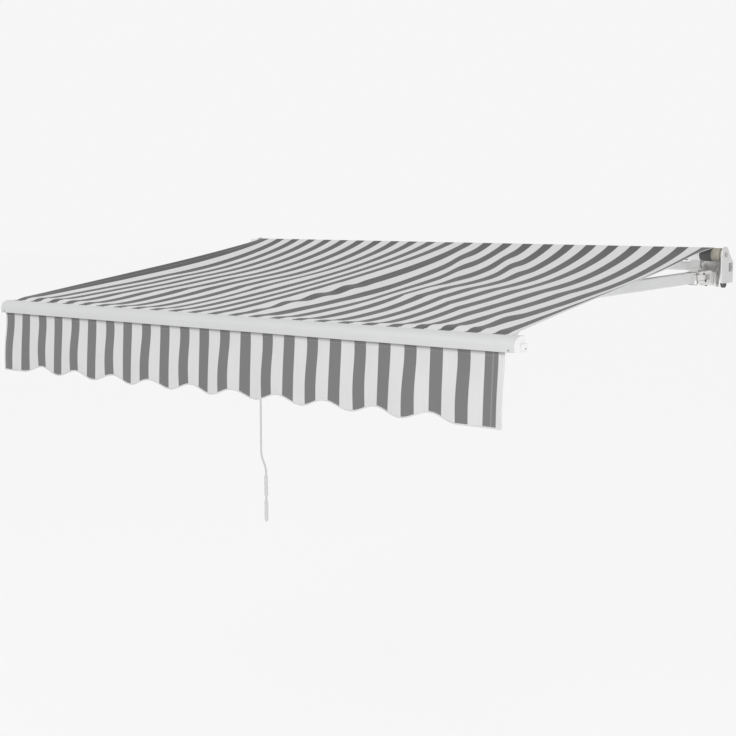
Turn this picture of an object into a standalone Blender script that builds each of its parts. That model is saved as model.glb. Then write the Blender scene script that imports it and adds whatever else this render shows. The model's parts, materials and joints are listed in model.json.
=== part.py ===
"""Folding-arm awning with its frame: striped canopy on a roller, two folding arms, a front bar and a hand crank.

Metres, +Z up, +Y into the wall. The origin is on the wall, at mid width, level with the torsion bar's axis.
"""

import math

import bmesh
import bpy
from mathutils import Matrix, Vector

CLEAR = 0.0003  # gap between two pieces that touch
RUNNING = 0.0005  # gap between two pieces that turn on each other

# Torsion bar, square steel tube that carries everything
TORSION_LENGTH = 2.900  # every place along the awning's width follows from it
TORSION_SIDE = 0.040
TORSION_WALL = 0.0025
TORSION_OFF_WALL = 0.035
CAP_THICK = 0.004

# Roller and its wound cloth
ROLLER_OFF_WALL = 0.095
ROLLER_ABOVE_BAR = 0.059
ROLLER_RADIUS = 0.0285
ROLLER_WALL = 0.0020
ROLLER_END = TORSION_LENGTH / 2 - 0.032  # from mid width to the end of the tube
CLOTH_TURNS = 0.0020  # thickness of the turns left on the tube
PLUG_FLANGE = 0.0255
PLUG_DEPTH = 0.050
PIN_RADIUS = 0.0070

# Canopy and valance
STRIPE_PAIRS = 24
DARK_SHARE = 0.4755  # dark part of one dark and one white stripe
CLOTH_LEFT = -TORSION_LENGTH / 2 + 0.0104
CLOTH_WIDTH = TORSION_LENGTH - 0.0583
CLOTH_THICK = 0.0020
CANOPY_ROWS = 15
VALANCE_DROP = 0.283
VALANCE_OVERHANG = 0.009
VALANCE_LEAN = 0.022
SCALLOP_PERIOD = 0.089 * CLOTH_WIDTH
SCALLOP_DEPTH = 0.027
SCALLOP_COUNT = 9
SCALLOP_MIDDLE = -0.032
SCALLOP_COLUMNS = 8
KEDER_RADIUS = 0.0032

# Front bar
BAR_LENGTH = TORSION_LENGTH + 0.050
BAR_DEPTH = 0.070
BAR_HEIGHT = 0.058
BAR_TOP_FLAT = 0.030
BAR_NOSE = 0.020
NOSE_STEPS = 8
FOOT_CHAMFER = 0.002
BAR_WALL = 0.0030
GROOVE_RADIUS = 0.0040
GROOVE_MOUTH = 0.0034

# Folding arms, in one plane that slopes down from the shoulders
SHOULDER_X = TORSION_LENGTH / 2 - 0.065
SHOULDER_Y = -0.180
SHOULDER_Z = -0.043
ARM_SLOPE = math.radians(5.5)
ARM_OPEN = math.radians(24.0)  # angle of each half arm to straight out
ARM_LENGTH = 0.914  # pivot to pivot
ARM_WIDE = 0.030
ARM_TALL = 0.055
ARM_WALL = 0.0030
ARM_OFFSET = 0.019  # the profiles lie beside their pivot lines
KNUCKLE_RADIUS = 0.017
NECK_START = 0.040
HEAD_LENGTH = 0.060
SPIGOT_LENGTH = 0.030
TONGUE_HALF = 0.0130
WRIST_TONGUE_HALF = 0.0090
WRIST_FORK_TALL = 0.043
PIVOT_PIN_RADIUS = 0.0060
PIN_HEAD_RADIUS = 0.0100
PIN_HEAD_THICK = 0.0032
OPEN_PIVOT_GAP = 0.0010  # the left wrist, where the loop of arms is left open

# Shoulder bracket with its tilt hinge
TILT_Y = -0.100
TILT_Z = -0.035
TILT_BOLT_RADIUS = 0.0060
LOCK_RADIUS = 0.040  # from the tilt bolt to the lock bolt
LOCK_BOLT_RADIUS = 0.0040
TILT_UP = math.radians(4.0)
TILT_DOWN = math.radians(12.0)
BLOCK_HALF = 0.030
BLOCK_SLOT_DEPTH = 0.031  # from the arm's first pivot back into the block
CHEEK_THICK = 0.0100
CLAMP_WALL = 0.0080

# Bracket between arm and front bar
BAR_BRACKET_REACH = 0.042  # wrist pivot to the back of the front bar
BAR_BRACKET_HALF = 0.020
BAR_BRACKET_FOOT = 0.006

# Wall brackets
WALL_BRACKET_X = TORSION_LENGTH / 2 - 0.150
WALL_BRACKET_WIDE = 0.060
WALL_PLATE_TALL = 0.140
WALL_PLATE_THICK = 0.010
WALL_HOOK = 0.010
WALL_BOLT_HOLE = 0.0060
WALL_BOLT_RISE = 0.052

# End plates that carry the roller
END_PLATE_X = TORSION_LENGTH / 2 + 0.005
END_PLATE_THICK = 0.008
END_PLATE_RADIUS = 0.037
END_PLATE_FOOT = -0.073

# Crank gear and crank
GEAR_TEETH = 11
GEAR_PITCH = 0.0120  # along the worm, one tooth
WORM_RADIUS = 0.0080
WORM_CORE = 0.0045
WORM_LENGTH = 0.040
GEAR_WIDE = 0.0080
TOOTH_DEPTH = 0.0035
GEAR_STANDOFF = 0.031  # from the left end plate out to the middle of the worm wheel
BOX_GAP = 0.0020
BOX_WALL = 0.0040
EYE_RADIUS = 0.0110
EYE_WIRE = 0.0030
HOOK_WIRE = 0.0026
HOOK_SWEEP = 245.0  # degrees that the hook goes round the eye's wire
HOOK_STEPS = 11
CRANK_ROD_RADIUS = 0.0060
CRANK_LENGTH = 1.165  # from the hook to the bend
CRANK_OFFSET = 0.070
CRANK_TURN = math.radians(-23.0)  # where the bend points, seen from above
CRANK_TAIL = 0.330
GRIP_RADIUS = 0.0120
GRIP_LENGTH = 0.125

SEGMENTS = 16

# Worked out from the sizes above
ROLLER_Y = -ROLLER_OFF_WALL
ROLLER_Z = ROLLER_ABOVE_BAR
ROLL_RADIUS = ROLLER_RADIUS + CLEAR + CLOTH_TURNS
TORSION_Y = -TORSION_OFF_WALL
STRIPE_PITCH = CLOTH_WIDTH / (STRIPE_PAIRS - 1 + DARK_SHARE)
CLOTH_RIGHT = CLOTH_LEFT + CLOTH_WIDTH
REACH = 2 * ARM_LENGTH * math.cos(ARM_OPEN)
WRIST_Y = SHOULDER_Y - REACH * math.cos(ARM_SLOPE)
WRIST_Z = SHOULDER_Z - REACH * math.sin(ARM_SLOPE)
BAR_BACK = WRIST_Y - BAR_BRACKET_REACH
BAR_TOP = WRIST_Z + BAR_HEIGHT / 2 - 0.0035
BAR_FOOT = BAR_TOP - BAR_HEIGHT
GEAR_RADIUS = GEAR_TEETH * GEAR_PITCH / (2 * math.pi)
WORM_PITCH_RADIUS = (WORM_RADIUS + WORM_CORE) / 2
WORM_Y = ROLLER_Y + GEAR_RADIUS + WORM_PITCH_RADIUS
GEAR_X = -(END_PLATE_X + END_PLATE_THICK + GEAR_STANDOFF)


def clear_scene():
    for obj in list(bpy.data.objects):
        bpy.data.objects.remove(obj, do_unlink=True)


def new_collection(name, hidden=False):
    collection = bpy.data.collections.new(name)
    bpy.context.scene.collection.children.link(collection)
    collection.hide_render = hidden
    return collection


def make_material(name, colour, roughness, metallic=0.0):
    material = bpy.data.materials.new(name)
    material.use_nodes = True
    shader = material.node_tree.nodes["Principled BSDF"]
    shader.inputs["Base Color"].default_value = (*colour, 1.0)
    shader.inputs["Roughness"].default_value = roughness
    shader.inputs["Metallic"].default_value = metallic
    return material


def add_object(name, mesh, material, parent=None, place=None, helper=False):
    """Puts a mesh in the scene. Its place is a world matrix, also under a parent."""
    obj = bpy.data.objects.new(name, mesh)
    (cutters if helper else awning).objects.link(obj)
    if material:
        mesh.materials.append(material)
    if helper:
        obj.hide_render = True
        obj.display_type = "WIRE"
    if parent:
        obj.parent = parent
        obj.matrix_parent_inverse = pivots[parent.name].inverted()
    obj.matrix_basis = place or Matrix()
    return obj


def add_pivot(name, place, parent=None):
    """An empty on a joint's axis."""
    empty = bpy.data.objects.new(name, None)
    empty.empty_display_size = 0.05
    awning.objects.link(empty)
    if parent:
        empty.parent = parent
        empty.matrix_parent_inverse = pivots[parent.name].inverted()
    empty.matrix_basis = place
    pivots[name] = place
    return empty


def axes(x_axis, y_axis, origin=(0, 0, 0)):
    """A matrix whose local X and Y lie along the two given directions."""
    x_axis, y_axis = Vector(x_axis).normalized(), Vector(y_axis).normalized()
    rows = Matrix((x_axis, y_axis, x_axis.cross(y_axis))).transposed().to_4x4()
    return Matrix.Translation(origin) @ rows


def side_frame(x, y=0.0, z=0.0):
    """Local X is world Y and local Y is world Z, so a side outline is extruded along X."""
    return axes((0, 1, 0), (0, 0, 1), (x, y, z))


def mesh_from_curve(curve):
    obj = bpy.data.objects.new("outline", curve)
    bpy.context.scene.collection.objects.link(obj)
    bpy.context.view_layer.update()
    graph = bpy.context.evaluated_depsgraph_get()
    mesh = bpy.data.meshes.new_from_object(obj.evaluated_get(graph))
    bpy.data.objects.remove(obj, do_unlink=True)
    work = bmesh.new()
    work.from_mesh(mesh)
    bmesh.ops.remove_doubles(work, verts=work.verts, dist=0.00002)
    bmesh.ops.recalc_face_normals(work, faces=work.faces)
    work.to_mesh(mesh)
    work.free()
    mesh.materials.clear()
    return mesh


def extruded(name, outlines, thick, material, place, parent=None, helper=False):
    """A flat outline, with any holes, extruded by half its thickness each way along local Z."""
    curve = bpy.data.curves.new(name, "CURVE")
    curve.dimensions = "2D"
    curve.fill_mode = "BOTH"
    curve.extrude = thick / 2
    for outline in outlines:
        spline = curve.splines.new("POLY")
        spline.points.add(len(outline) - 1)
        spline.use_cyclic_u = True
        for point, (x, y) in zip(spline.points, outline):
            point.co = (x, y, 0, 1)
    return add_object(name, mesh_from_curve(curve), material, parent, place, helper)


def turned(name, profile, material, place, parent=None, steps=SEGMENTS, closed=False, helper=False):
    """A profile of (radius, height) points, top to bottom, turned about local Z."""
    mesh = bpy.data.meshes.new(name)
    points = [(radius, 0, height) for radius, height in profile]
    edges = [(i, i + 1) for i in range(len(points) - 1)]
    if closed:
        edges.append((len(points) - 1, 0))
    mesh.from_pydata(points, edges, [])
    obj = add_object(name, mesh, material, parent, place, helper)
    screw = obj.modifiers.new("turn", "SCREW")
    screw.steps = steps
    screw.render_steps = steps
    screw.use_merge_vertices = True
    screw.merge_threshold = 0.00001
    screw.use_smooth_shade = True
    return obj


def block(name, low, high, material=None, place=None, parent=None, helper=False):
    mesh = bpy.data.meshes.new(name)
    work = bmesh.new()
    size = Vector(high) - Vector(low)
    middle = (Vector(high) + Vector(low)) / 2
    bmesh.ops.create_cube(work, matrix=Matrix.Translation(middle) @ Matrix.Diagonal((*size, 1)))
    work.to_mesh(mesh)
    work.free()
    return add_object(name, mesh, material, parent, place, helper)


def tube(name, points, radius, material, parent=None, sides=3, helper=False):
    """A round rod along world points, with filled ends."""
    curve = bpy.data.curves.new(name, "CURVE")
    curve.dimensions = "3D"
    curve.bevel_depth = radius
    curve.bevel_resolution = sides
    curve.use_fill_caps = True
    spline = curve.splines.new("POLY")
    spline.points.add(len(points) - 1)
    for point, co in zip(spline.points, points):
        point.co = (*co, 1)
    return add_object(name, mesh_from_curve(curve), material, parent, None, helper)


def use_boolean(obj, other, operation):
    modifier = obj.modifiers.new(f"{operation.lower()} {other.name}", "BOOLEAN")
    modifier.operation = operation
    modifier.object = other
    return obj


def cut(obj, *others):
    for other in others:
        use_boolean(obj, other, "DIFFERENCE")


def join(obj, *others):
    for other in others:
        use_boolean(obj, other, "UNION")


def drill(obj, radius, depth, place, parent=None):
    """A round hole through obj, centred on place and along its local Z."""
    profile = [(0, depth), (radius, depth), (radius, -depth), (0, -depth)]
    cut(obj, turned(f"{obj.name}_drill", profile, None, place, parent, helper=True))


def soften(obj, width, segments=1, angle=40):
    bevel = obj.modifiers.new("edges", "BEVEL")
    bevel.width = width
    bevel.segments = segments
    bevel.limit_method = "ANGLE"
    bevel.angle_limit = math.radians(angle)


def arc(centre, radius, start, end, count):
    """Points on an arc, angles in degrees, both ends included."""
    steps = [math.radians(start + (end - start) * i / count) for i in range(count + 1)]
    return [(centre[0] + radius * math.cos(a), centre[1] + radius * math.sin(a)) for a in steps]


def rounded(low, high, radius, count=4):
    """A rectangle with round corners, counter-clockwise."""
    (x0, y0), (x1, y1) = low, high
    r = radius
    corners = ((x1 - r, y1 - r, 0), (x0 + r, y1 - r, 90), (x0 + r, y0 + r, 180), (x1 - r, y0 + r, 270))
    return [p for x, y, a in corners for p in arc((x, y), r, a, a + 90, count)]


def square(half_wide, half_tall, centre=(0, 0)):
    x, y = centre
    return [
        (x - half_wide, y - half_tall),
        (x + half_wide, y - half_tall),
        (x + half_wide, y + half_tall),
        (x - half_wide, y + half_tall),
    ]


def hull(points):
    """The convex outline round a set of flat points."""
    points = sorted(set((round(x, 7), round(y, 7)) for x, y in points))
    ends = []
    for ordered in (points, points[::-1]):
        chain = []
        for p in ordered:
            while len(chain) > 1:
                (ax, ay), (bx, by) = chain[-2:]
                if (bx - ax) * (p[1] - ay) - (by - ay) * (p[0] - ax) > 1e-12:
                    break
                chain.pop()
            chain.append(p)
        ends += chain[:-1]
    return ends


def disc(radius, centre=(0, 0), count=SEGMENTS):
    return arc(centre, radius, 0, 360, count)[:-1]


clear_scene()
awning = new_collection("folding_arm_awning")
cutters = new_collection("cutters", hidden=True)
pivots = {}

paint = make_material("white_powder_coat", (0.80, 0.80, 0.79), 0.38)
cast_paint = make_material("grey_cast_coat", (0.66, 0.66, 0.65), 0.45)
steel = make_material("zinc_plated_steel", (0.45, 0.45, 0.44), 0.35, 1.0)
dark_plastic = make_material("dark_plastic", (0.05, 0.05, 0.05), 0.5)
beige_plastic = make_material("beige_plastic", (0.50, 0.40, 0.29), 0.55)
cap_plastic = make_material("white_plastic", (0.72, 0.72, 0.71), 0.45)
tube_steel = make_material("galvanised_steel", (0.55, 0.56, 0.57), 0.4, 1.0)
bronze = make_material("gear_bronze", (0.45, 0.30, 0.12), 0.4, 1.0)
grey_cloth = make_material("grey_stripe_cloth", (0.20, 0.20, 0.20), 0.9)
white_cloth = make_material("white_stripe_cloth", (0.72, 0.72, 0.72), 0.9)


# Torsion bar with its end caps

half = TORSION_SIDE / 2
extruded(
    "torsion_bar",
    [rounded((-half, -half), (half, half), 0.003, 2), square(half - TORSION_WALL, half - TORSION_WALL)],
    TORSION_LENGTH,
    paint,
    side_frame(0, TORSION_Y),
)
for side, word in ((-1, "left"), (1, "right")):
    cap = extruded(
        f"torsion_bar_cap_{word}",
        [rounded((-half, -half), (half, half), 0.003, 2)],
        CAP_THICK,
        dark_plastic,
        side_frame(side * (TORSION_LENGTH / 2 + CLEAR + CAP_THICK / 2), TORSION_Y),
    )
    inner = half - TORSION_WALL - CLEAR
    plug_mid = side * (TORSION_LENGTH / 2 - 0.006)
    join(cap, block(
        f"{cap.name}_plug",
        (plug_mid - 0.0085, TORSION_Y - inner, -inner),
        (plug_mid + 0.0085, TORSION_Y + inner, inner),
        helper=True,
    ))


# Wall brackets: a back plate with a hook under the bar, and a keeper over it

def wall_bracket(side, word):
    grip = half + CLEAR
    front = TORSION_Y - grip - WALL_HOOK
    tall = WALL_PLATE_TALL / 2
    outline = [
        (0, -tall),
        (0, tall),
        (-WALL_PLATE_THICK, tall),
        (-WALL_PLATE_THICK, -grip),
        (TORSION_Y - grip, -grip),
        (TORSION_Y - grip, -half / 4),
        (front, -half / 4),
        (front, -grip - WALL_HOOK + 0.004),
        (front + 0.004, -grip - WALL_HOOK),
        (-WALL_PLATE_THICK - 0.006, -grip - WALL_HOOK),
        (-WALL_PLATE_THICK, -grip - WALL_HOOK - 0.018),
        (-WALL_PLATE_THICK, -tall),
    ]
    place = side_frame(side * WALL_BRACKET_X)
    bracket = extruded(f"wall_bracket_{word}", [outline], WALL_BRACKET_WIDE, paint, place)
    for rise in (WALL_BOLT_RISE, -WALL_BOLT_RISE):
        hole = axes((1, 0, 0), (0, 0, 1), (side * WALL_BRACKET_X, -WALL_PLATE_THICK / 2, rise))
        drill(bracket, WALL_BOLT_HOLE, WALL_PLATE_THICK, hole)
    lip = 0.006
    keeper = [
        (-WALL_PLATE_THICK - CLEAR, grip),
        (-WALL_PLATE_THICK - CLEAR, grip + lip),
        (front, grip + lip),
        (front, -half / 4 + CLEAR),
        (TORSION_Y - grip, -half / 4 + CLEAR),
        (TORSION_Y - grip, grip),
    ]
    extruded(f"wall_bracket_keeper_{word}", [keeper], WALL_BRACKET_WIDE - 0.012, cast_paint, place)


for side, word in ((-1, "left"), (1, "right")):
    wall_bracket(side, word)


# End plates: each slides over the torsion bar and holds one end of the roller

def end_plate(side, word):
    y, z, r = ROLLER_Y, ROLLER_Z, END_PLATE_RADIUS
    grip = half + CLEAR
    back = TORSION_Y + grip + CLAMP_WALL
    outline = (
        arc((y, z), r, 20, 180, 10)
        + arc((y - r + 0.014, END_PLATE_FOOT + 0.014), 0.014, 180, 270, 4)
        + arc((back - 0.010, END_PLATE_FOOT + 0.010), 0.010, 270, 360, 4)
        + arc((back - 0.008, grip + CLAMP_WALL - 0.008), 0.008, 0, 90, 3)
    )
    holes = [square(grip, grip, (TORSION_Y, 0)), disc(PIN_RADIUS + RUNNING, (y, z), 16)]
    extruded(
        f"end_plate_{word}",
        [outline] + holes,
        END_PLATE_THICK,
        paint,
        side_frame(side * (END_PLATE_X + END_PLATE_THICK / 2)),
    )


for side, word in ((-1, "left"), (1, "right")):
    end_plate(side, word)


# Roller: tube with a groove for the cloth's piping, plugs, pin and the last turns of cloth

roller = add_pivot("roller_axis", axes((0, 1, 0), (0, 0, 1), (0, ROLLER_Y, ROLLER_Z)))


def grooved_ring(radius, groove_half, groove_depth):
    gap = math.degrees(math.asin(groove_half / radius))
    ring = arc((0, 0), radius, -90 + gap, 270 - gap, 22)
    bottom = -math.sqrt(radius**2 - groove_half**2) + groove_depth
    return ring + [(-groove_half, bottom), (groove_half, bottom)]


extruded(
    "roller_tube",
    [grooved_ring(ROLLER_RADIUS, 0.002, 0.006), grooved_ring(ROLLER_RADIUS - ROLLER_WALL, 0.004, 0.006)],
    2 * ROLLER_END,
    tube_steel,
    pivots["roller_axis"],
    roller,
)
cloth_middle = (CLOTH_LEFT + CLOTH_RIGHT) / 2
extruded(
    "wound_cloth",
    [disc(ROLL_RADIUS, count=28), disc(ROLLER_RADIUS + CLEAR, count=28)],
    CLOTH_WIDTH - 0.004,
    grey_cloth,
    side_frame(cloth_middle, ROLLER_Y, ROLLER_Z),
    roller,
)


def roller_plug(side, word):
    inner = ROLLER_RADIUS - ROLLER_WALL - 0.0065
    face = END_PLATE_X - RUNNING
    profile = [
        (0, face),
        (PLUG_FLANGE - 0.002, face),
        (PLUG_FLANGE, face - 0.002),
        (PLUG_FLANGE, ROLLER_END + CLEAR),
        (inner, ROLLER_END + CLEAR),
        (inner - 0.001, ROLLER_END - PLUG_DEPTH),
        (0, ROLLER_END - PLUG_DEPTH),
    ]
    place = axes((0, 1, 0), (0, 0, side), (0, ROLLER_Y, ROLLER_Z))
    plug = turned(f"roller_plug_{word}", profile, beige_plastic, place, roller)
    drill(plug, PIN_RADIUS + CLEAR, PLUG_DEPTH, place @ Matrix.Translation((0, 0, face)), roller)


for side, word in ((-1, "left"), (1, "right")):
    roller_plug(side, word)


def roller_pin():
    """The right pin turns in the end plate; its head shows outside."""
    outer = END_PLATE_X + END_PLATE_THICK + RUNNING
    profile = [
        (0, outer + 0.005),
        (PIN_RADIUS + 0.003, outer + 0.005),
        (PIN_RADIUS + 0.004, outer + 0.004),
        (PIN_RADIUS + 0.004, outer),
        (PIN_RADIUS, outer),
        (PIN_RADIUS, END_PLATE_X - PLUG_DEPTH + 0.010),
        (0, END_PLATE_X - PLUG_DEPTH + 0.010),
    ]
    place = axes((0, 1, 0), (0, 0, 1), (0, ROLLER_Y, ROLLER_Z))
    turned("roller_pin", profile, steel, place, roller, 16)


roller_pin()


# Crank gear: a worm on the crank's eye turns a worm wheel on the roller's left end

def gear_outline():
    """Teeth as straight-sided bumps, one of them pointing at the worm."""
    tip = GEAR_RADIUS + WORM_PITCH_RADIUS - WORM_CORE - RUNNING
    root = tip - TOOTH_DEPTH
    points = []
    for tooth in range(GEAR_TEETH):
        middle = 2 * math.pi * tooth / GEAR_TEETH
        for radius, across in ((root, -0.0023), (tip, -0.0015), (tip, 0.0015), (root, 0.0023)):
            angle = middle + across / radius
            points.append((radius * math.cos(angle), radius * math.sin(angle)))
    return points


gear_frame = side_frame(GEAR_X, ROLLER_Y, ROLLER_Z)
wheel = extruded("worm_wheel", [gear_outline()], GEAR_WIDE, bronze, gear_frame, roller)
shaft_end = -(END_PLATE_X - PLUG_DEPTH + 0.010)
shaft_mid = (GEAR_X + shaft_end) / 2
shaft_place = side_frame(shaft_mid, ROLLER_Y, ROLLER_Z)
shaft = extruded(
    "worm_wheel_shaft", [disc(PIN_RADIUS, count=16)], shaft_end - GEAR_X, None, shaft_place, roller, True
)
join(wheel, shaft)

crank = add_pivot("crank_axis", Matrix.Translation((GEAR_X, WORM_Y, ROLLER_Z)))


def worm_shaft():
    """A round bar whose radius rises along a helix."""
    around, along = 12, 28
    low = ROLLER_Z - WORM_LENGTH / 2
    mesh = bpy.data.meshes.new("worm_shaft")
    work = bmesh.new()
    bmesh.ops.create_grid(work, x_segments=around, y_segments=along, size=0.5)
    for vert in work.verts:
        angle = 2 * math.pi * (vert.co.x + 0.5)
        height = WORM_LENGTH * (vert.co.y + 0.5)
        phase = (height - WORM_LENGTH / 2) / GEAR_PITCH - (angle - 1.5 * math.pi) / (2 * math.pi)
        off_ridge = abs(phase - 0.5 - round(phase - 0.5)) * GEAR_PITCH
        rise = min(1.0, max(0.0, (0.0034 - off_ridge) / 0.0016))
        near_end = min(height, WORM_LENGTH - height)
        rise *= min(1.0, near_end / 0.004)
        radius = WORM_CORE + (WORM_RADIUS - WORM_CORE) * rise
        vert.co = (radius * math.cos(angle), radius * math.sin(angle), height - WORM_LENGTH / 2)
    bmesh.ops.remove_doubles(work, verts=work.verts, dist=0.00001)
    bmesh.ops.holes_fill(work, edges=work.edges, sides=0)
    bmesh.ops.recalc_face_normals(work, faces=work.faces)
    work.to_mesh(mesh)
    work.free()
    worm = add_object("worm_shaft", mesh, steel, crank, Matrix.Translation((GEAR_X, WORM_Y, ROLLER_Z)))
    stem_top = low + 0.004
    stem_foot = low - BOX_GAP - BOX_WALL - 0.010
    stem = turned(
        "worm_stem",
        [(0, stem_top), (WORM_CORE, stem_top), (WORM_CORE, stem_foot), (0, stem_foot)],
        None,
        Matrix.Translation((GEAR_X, WORM_Y, 0)),
        crank,
        14,
        helper=True,
    )
    join(worm, stem)
    return stem_foot


stem_foot = worm_shaft()
eye_top = stem_foot - CLEAR
eye_centre = Vector((GEAR_X, WORM_Y, eye_top - 0.012 - EYE_RADIUS))


def crank_eye():
    """A forged eye under the worm, with a short shank."""
    points = disc(EYE_RADIUS, count=18)
    curve = bpy.data.curves.new("crank_eye", "CURVE")
    curve.dimensions = "3D"
    curve.bevel_depth = EYE_WIRE
    curve.bevel_resolution = 2
    spline = curve.splines.new("POLY")
    spline.points.add(len(points) - 1)
    spline.use_cyclic_u = True
    for point, (x, z) in zip(spline.points, points):
        point.co = (x, 0, z, 1)
    place = Matrix.Translation(eye_centre) @ Matrix.Rotation(CRANK_TURN, 4, "Z")
    eye = add_object("crank_eye", mesh_from_curve(curve), steel, crank, place)
    shank_foot = eye_centre.z + EYE_RADIUS
    shank = turned(
        "eye_shank",
        [(0, eye_top), (0.0062, eye_top), (0.0062, eye_top - 0.007), (0.0035, shank_foot), (0, shank_foot)],
        None,
        Matrix.Translation((GEAR_X, WORM_Y, 0)),
        crank,
        14,
        helper=True,
    )
    join(eye, shank)


crank_eye()


def gear_box():
    """A housing round worm and wheel, open to the outside, with a screwed cover."""
    tip = GEAR_RADIUS + WORM_PITCH_RADIUS - WORM_CORE
    wheel_room = tip + BOX_GAP
    worm_room = WORM_RADIUS + BOX_GAP
    worm_u = WORM_Y - ROLLER_Y
    worm_half = WORM_LENGTH / 2 + BOX_GAP
    worm_sides = [(worm_u + worm_room, -worm_half), (worm_u + worm_room, worm_half)]
    inside = hull(disc(wheel_room, count=24) + worm_sides)
    outer = []
    for u, v in inside:
        outer += disc(BOX_WALL, (u, v), 12)
    outside = hull(outer)
    inner_face = -(END_PLATE_X + END_PLATE_THICK + CLEAR)
    room_start = GEAR_X + worm_room
    outer_face = GEAR_X - worm_room
    box_deep = inner_face - outer_face
    box_mid = (inner_face + outer_face) / 2
    housing = extruded(
        "gearbox_housing", [outside], box_deep, cap_plastic, side_frame(box_mid, ROLLER_Y, ROLLER_Z)
    )
    room_deep = 2 * (room_start - outer_face)
    room_place = side_frame(room_start - room_deep / 2, ROLLER_Y, ROLLER_Z)
    cut(housing, extruded("gearbox_room", [inside], room_deep, None, room_place, helper=True))
    drill(housing, PIN_RADIUS + RUNNING, GEAR_STANDOFF, side_frame(inner_face, ROLLER_Y, ROLLER_Z))
    stem_place = Matrix.Translation((GEAR_X, WORM_Y, ROLLER_Z - worm_half - BOX_WALL / 2))
    drill(housing, WORM_CORE + RUNNING, BOX_WALL, stem_place)
    cover_x = outer_face - CLEAR - 0.0015
    cover = extruded(
        "gearbox_cover", [outside], 0.003, cap_plastic, side_frame(cover_x, ROLLER_Y, ROLLER_Z)
    )
    soften(cover, 0.0010, 1, 60)


gear_box()


def crank_handle():
    """One bent rod: a hook through the eye, a long stem, an angled bend and the tail that carries the grip."""
    out = Vector((math.cos(CRANK_TURN), math.sin(CRANK_TURN), 0))
    across = Vector((-out.y, out.x, 0))
    hook_radius = EYE_WIRE + HOOK_WIRE + 2 * CLEAR
    low = eye_centre + Vector((0, 0, -EYE_RADIUS - hook_radius))
    axis_low = low + Vector((0, 0, -0.055))
    bend_top = axis_low + Vector((0, 0, -CRANK_LENGTH))
    bend_foot = bend_top + out * CRANK_OFFSET + Vector((0, 0, -CRANK_OFFSET))
    tail_foot = bend_foot + Vector((0, 0, -CRANK_TAIL))
    rod = tube("crank_rod", rounded_path(
        [axis_low + Vector((0, 0, 0.004)), bend_top, bend_foot, tail_foot], 0.030
    ), CRANK_ROD_RADIUS, paint, crank, 2)
    centre = eye_centre + Vector((0, 0, -EYE_RADIUS))
    hook = []
    for step in range(HOOK_STEPS + 1):
        a = math.radians(-90 + HOOK_SWEEP * step / HOOK_STEPS)
        hook.append(centre + across * math.cos(a) * hook_radius + Vector((0, 0, math.sin(a) * hook_radius)))
    wire_path = [axis_low, low + Vector((0, 0, -0.012))] + hook
    wire = tube("crank_hook_wire", wire_path, HOOK_WIRE, None, crank, 2, helper=True)
    join(rod, wire)
    return bend_foot, tail_foot


def rounded_path(corners, radius, count=4):
    """World points of a path whose corners are rounded."""
    points = [corners[0]]
    for before, corner, after in zip(corners, corners[1:], corners[2:]):
        start = corner + (before - corner).normalized() * radius
        end = corner + (after - corner).normalized() * radius
        for i in range(count + 1):
            t = i / count
            points.append(start * (1 - t) ** 2 + corner * 2 * t * (1 - t) + end * t**2)
    return points + [corners[-1]]


bend_foot, tail_foot = crank_handle()
grip_foot = tail_foot.z + 0.006


def crank_grip(name, foot, length):
    """A grip sleeve that spins on the rod."""
    bore = CRANK_ROD_RADIUS + RUNNING
    profile = [
        (bore, foot + length),
        (GRIP_RADIUS - 0.003, foot + length),
        (GRIP_RADIUS, foot + length - 0.006),
        (GRIP_RADIUS - 0.001, foot + length / 2),
        (GRIP_RADIUS, foot + 0.006),
        (GRIP_RADIUS - 0.003, foot),
        (bore, foot),
    ]
    pivot = add_pivot(f"{name}_axis", Matrix.Translation((tail_foot.x, tail_foot.y, foot)), crank)
    turned(name, profile, dark_plastic, Matrix.Translation((tail_foot.x, tail_foot.y, 0)), pivot, 16, True)


crank_grip("crank_grip_lower", grip_foot, GRIP_LENGTH)
crank_grip("crank_grip_upper", grip_foot + GRIP_LENGTH + 0.030, GRIP_LENGTH)


# Folding arms

def arm_plane(side):
    return Matrix.Translation((side * SHOULDER_X, SHOULDER_Y, SHOULDER_Z)) @ Matrix.Rotation(ARM_SLOPE, 4, "X")


def turn(angle):
    return Matrix.Rotation(angle, 4, "Z")


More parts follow.
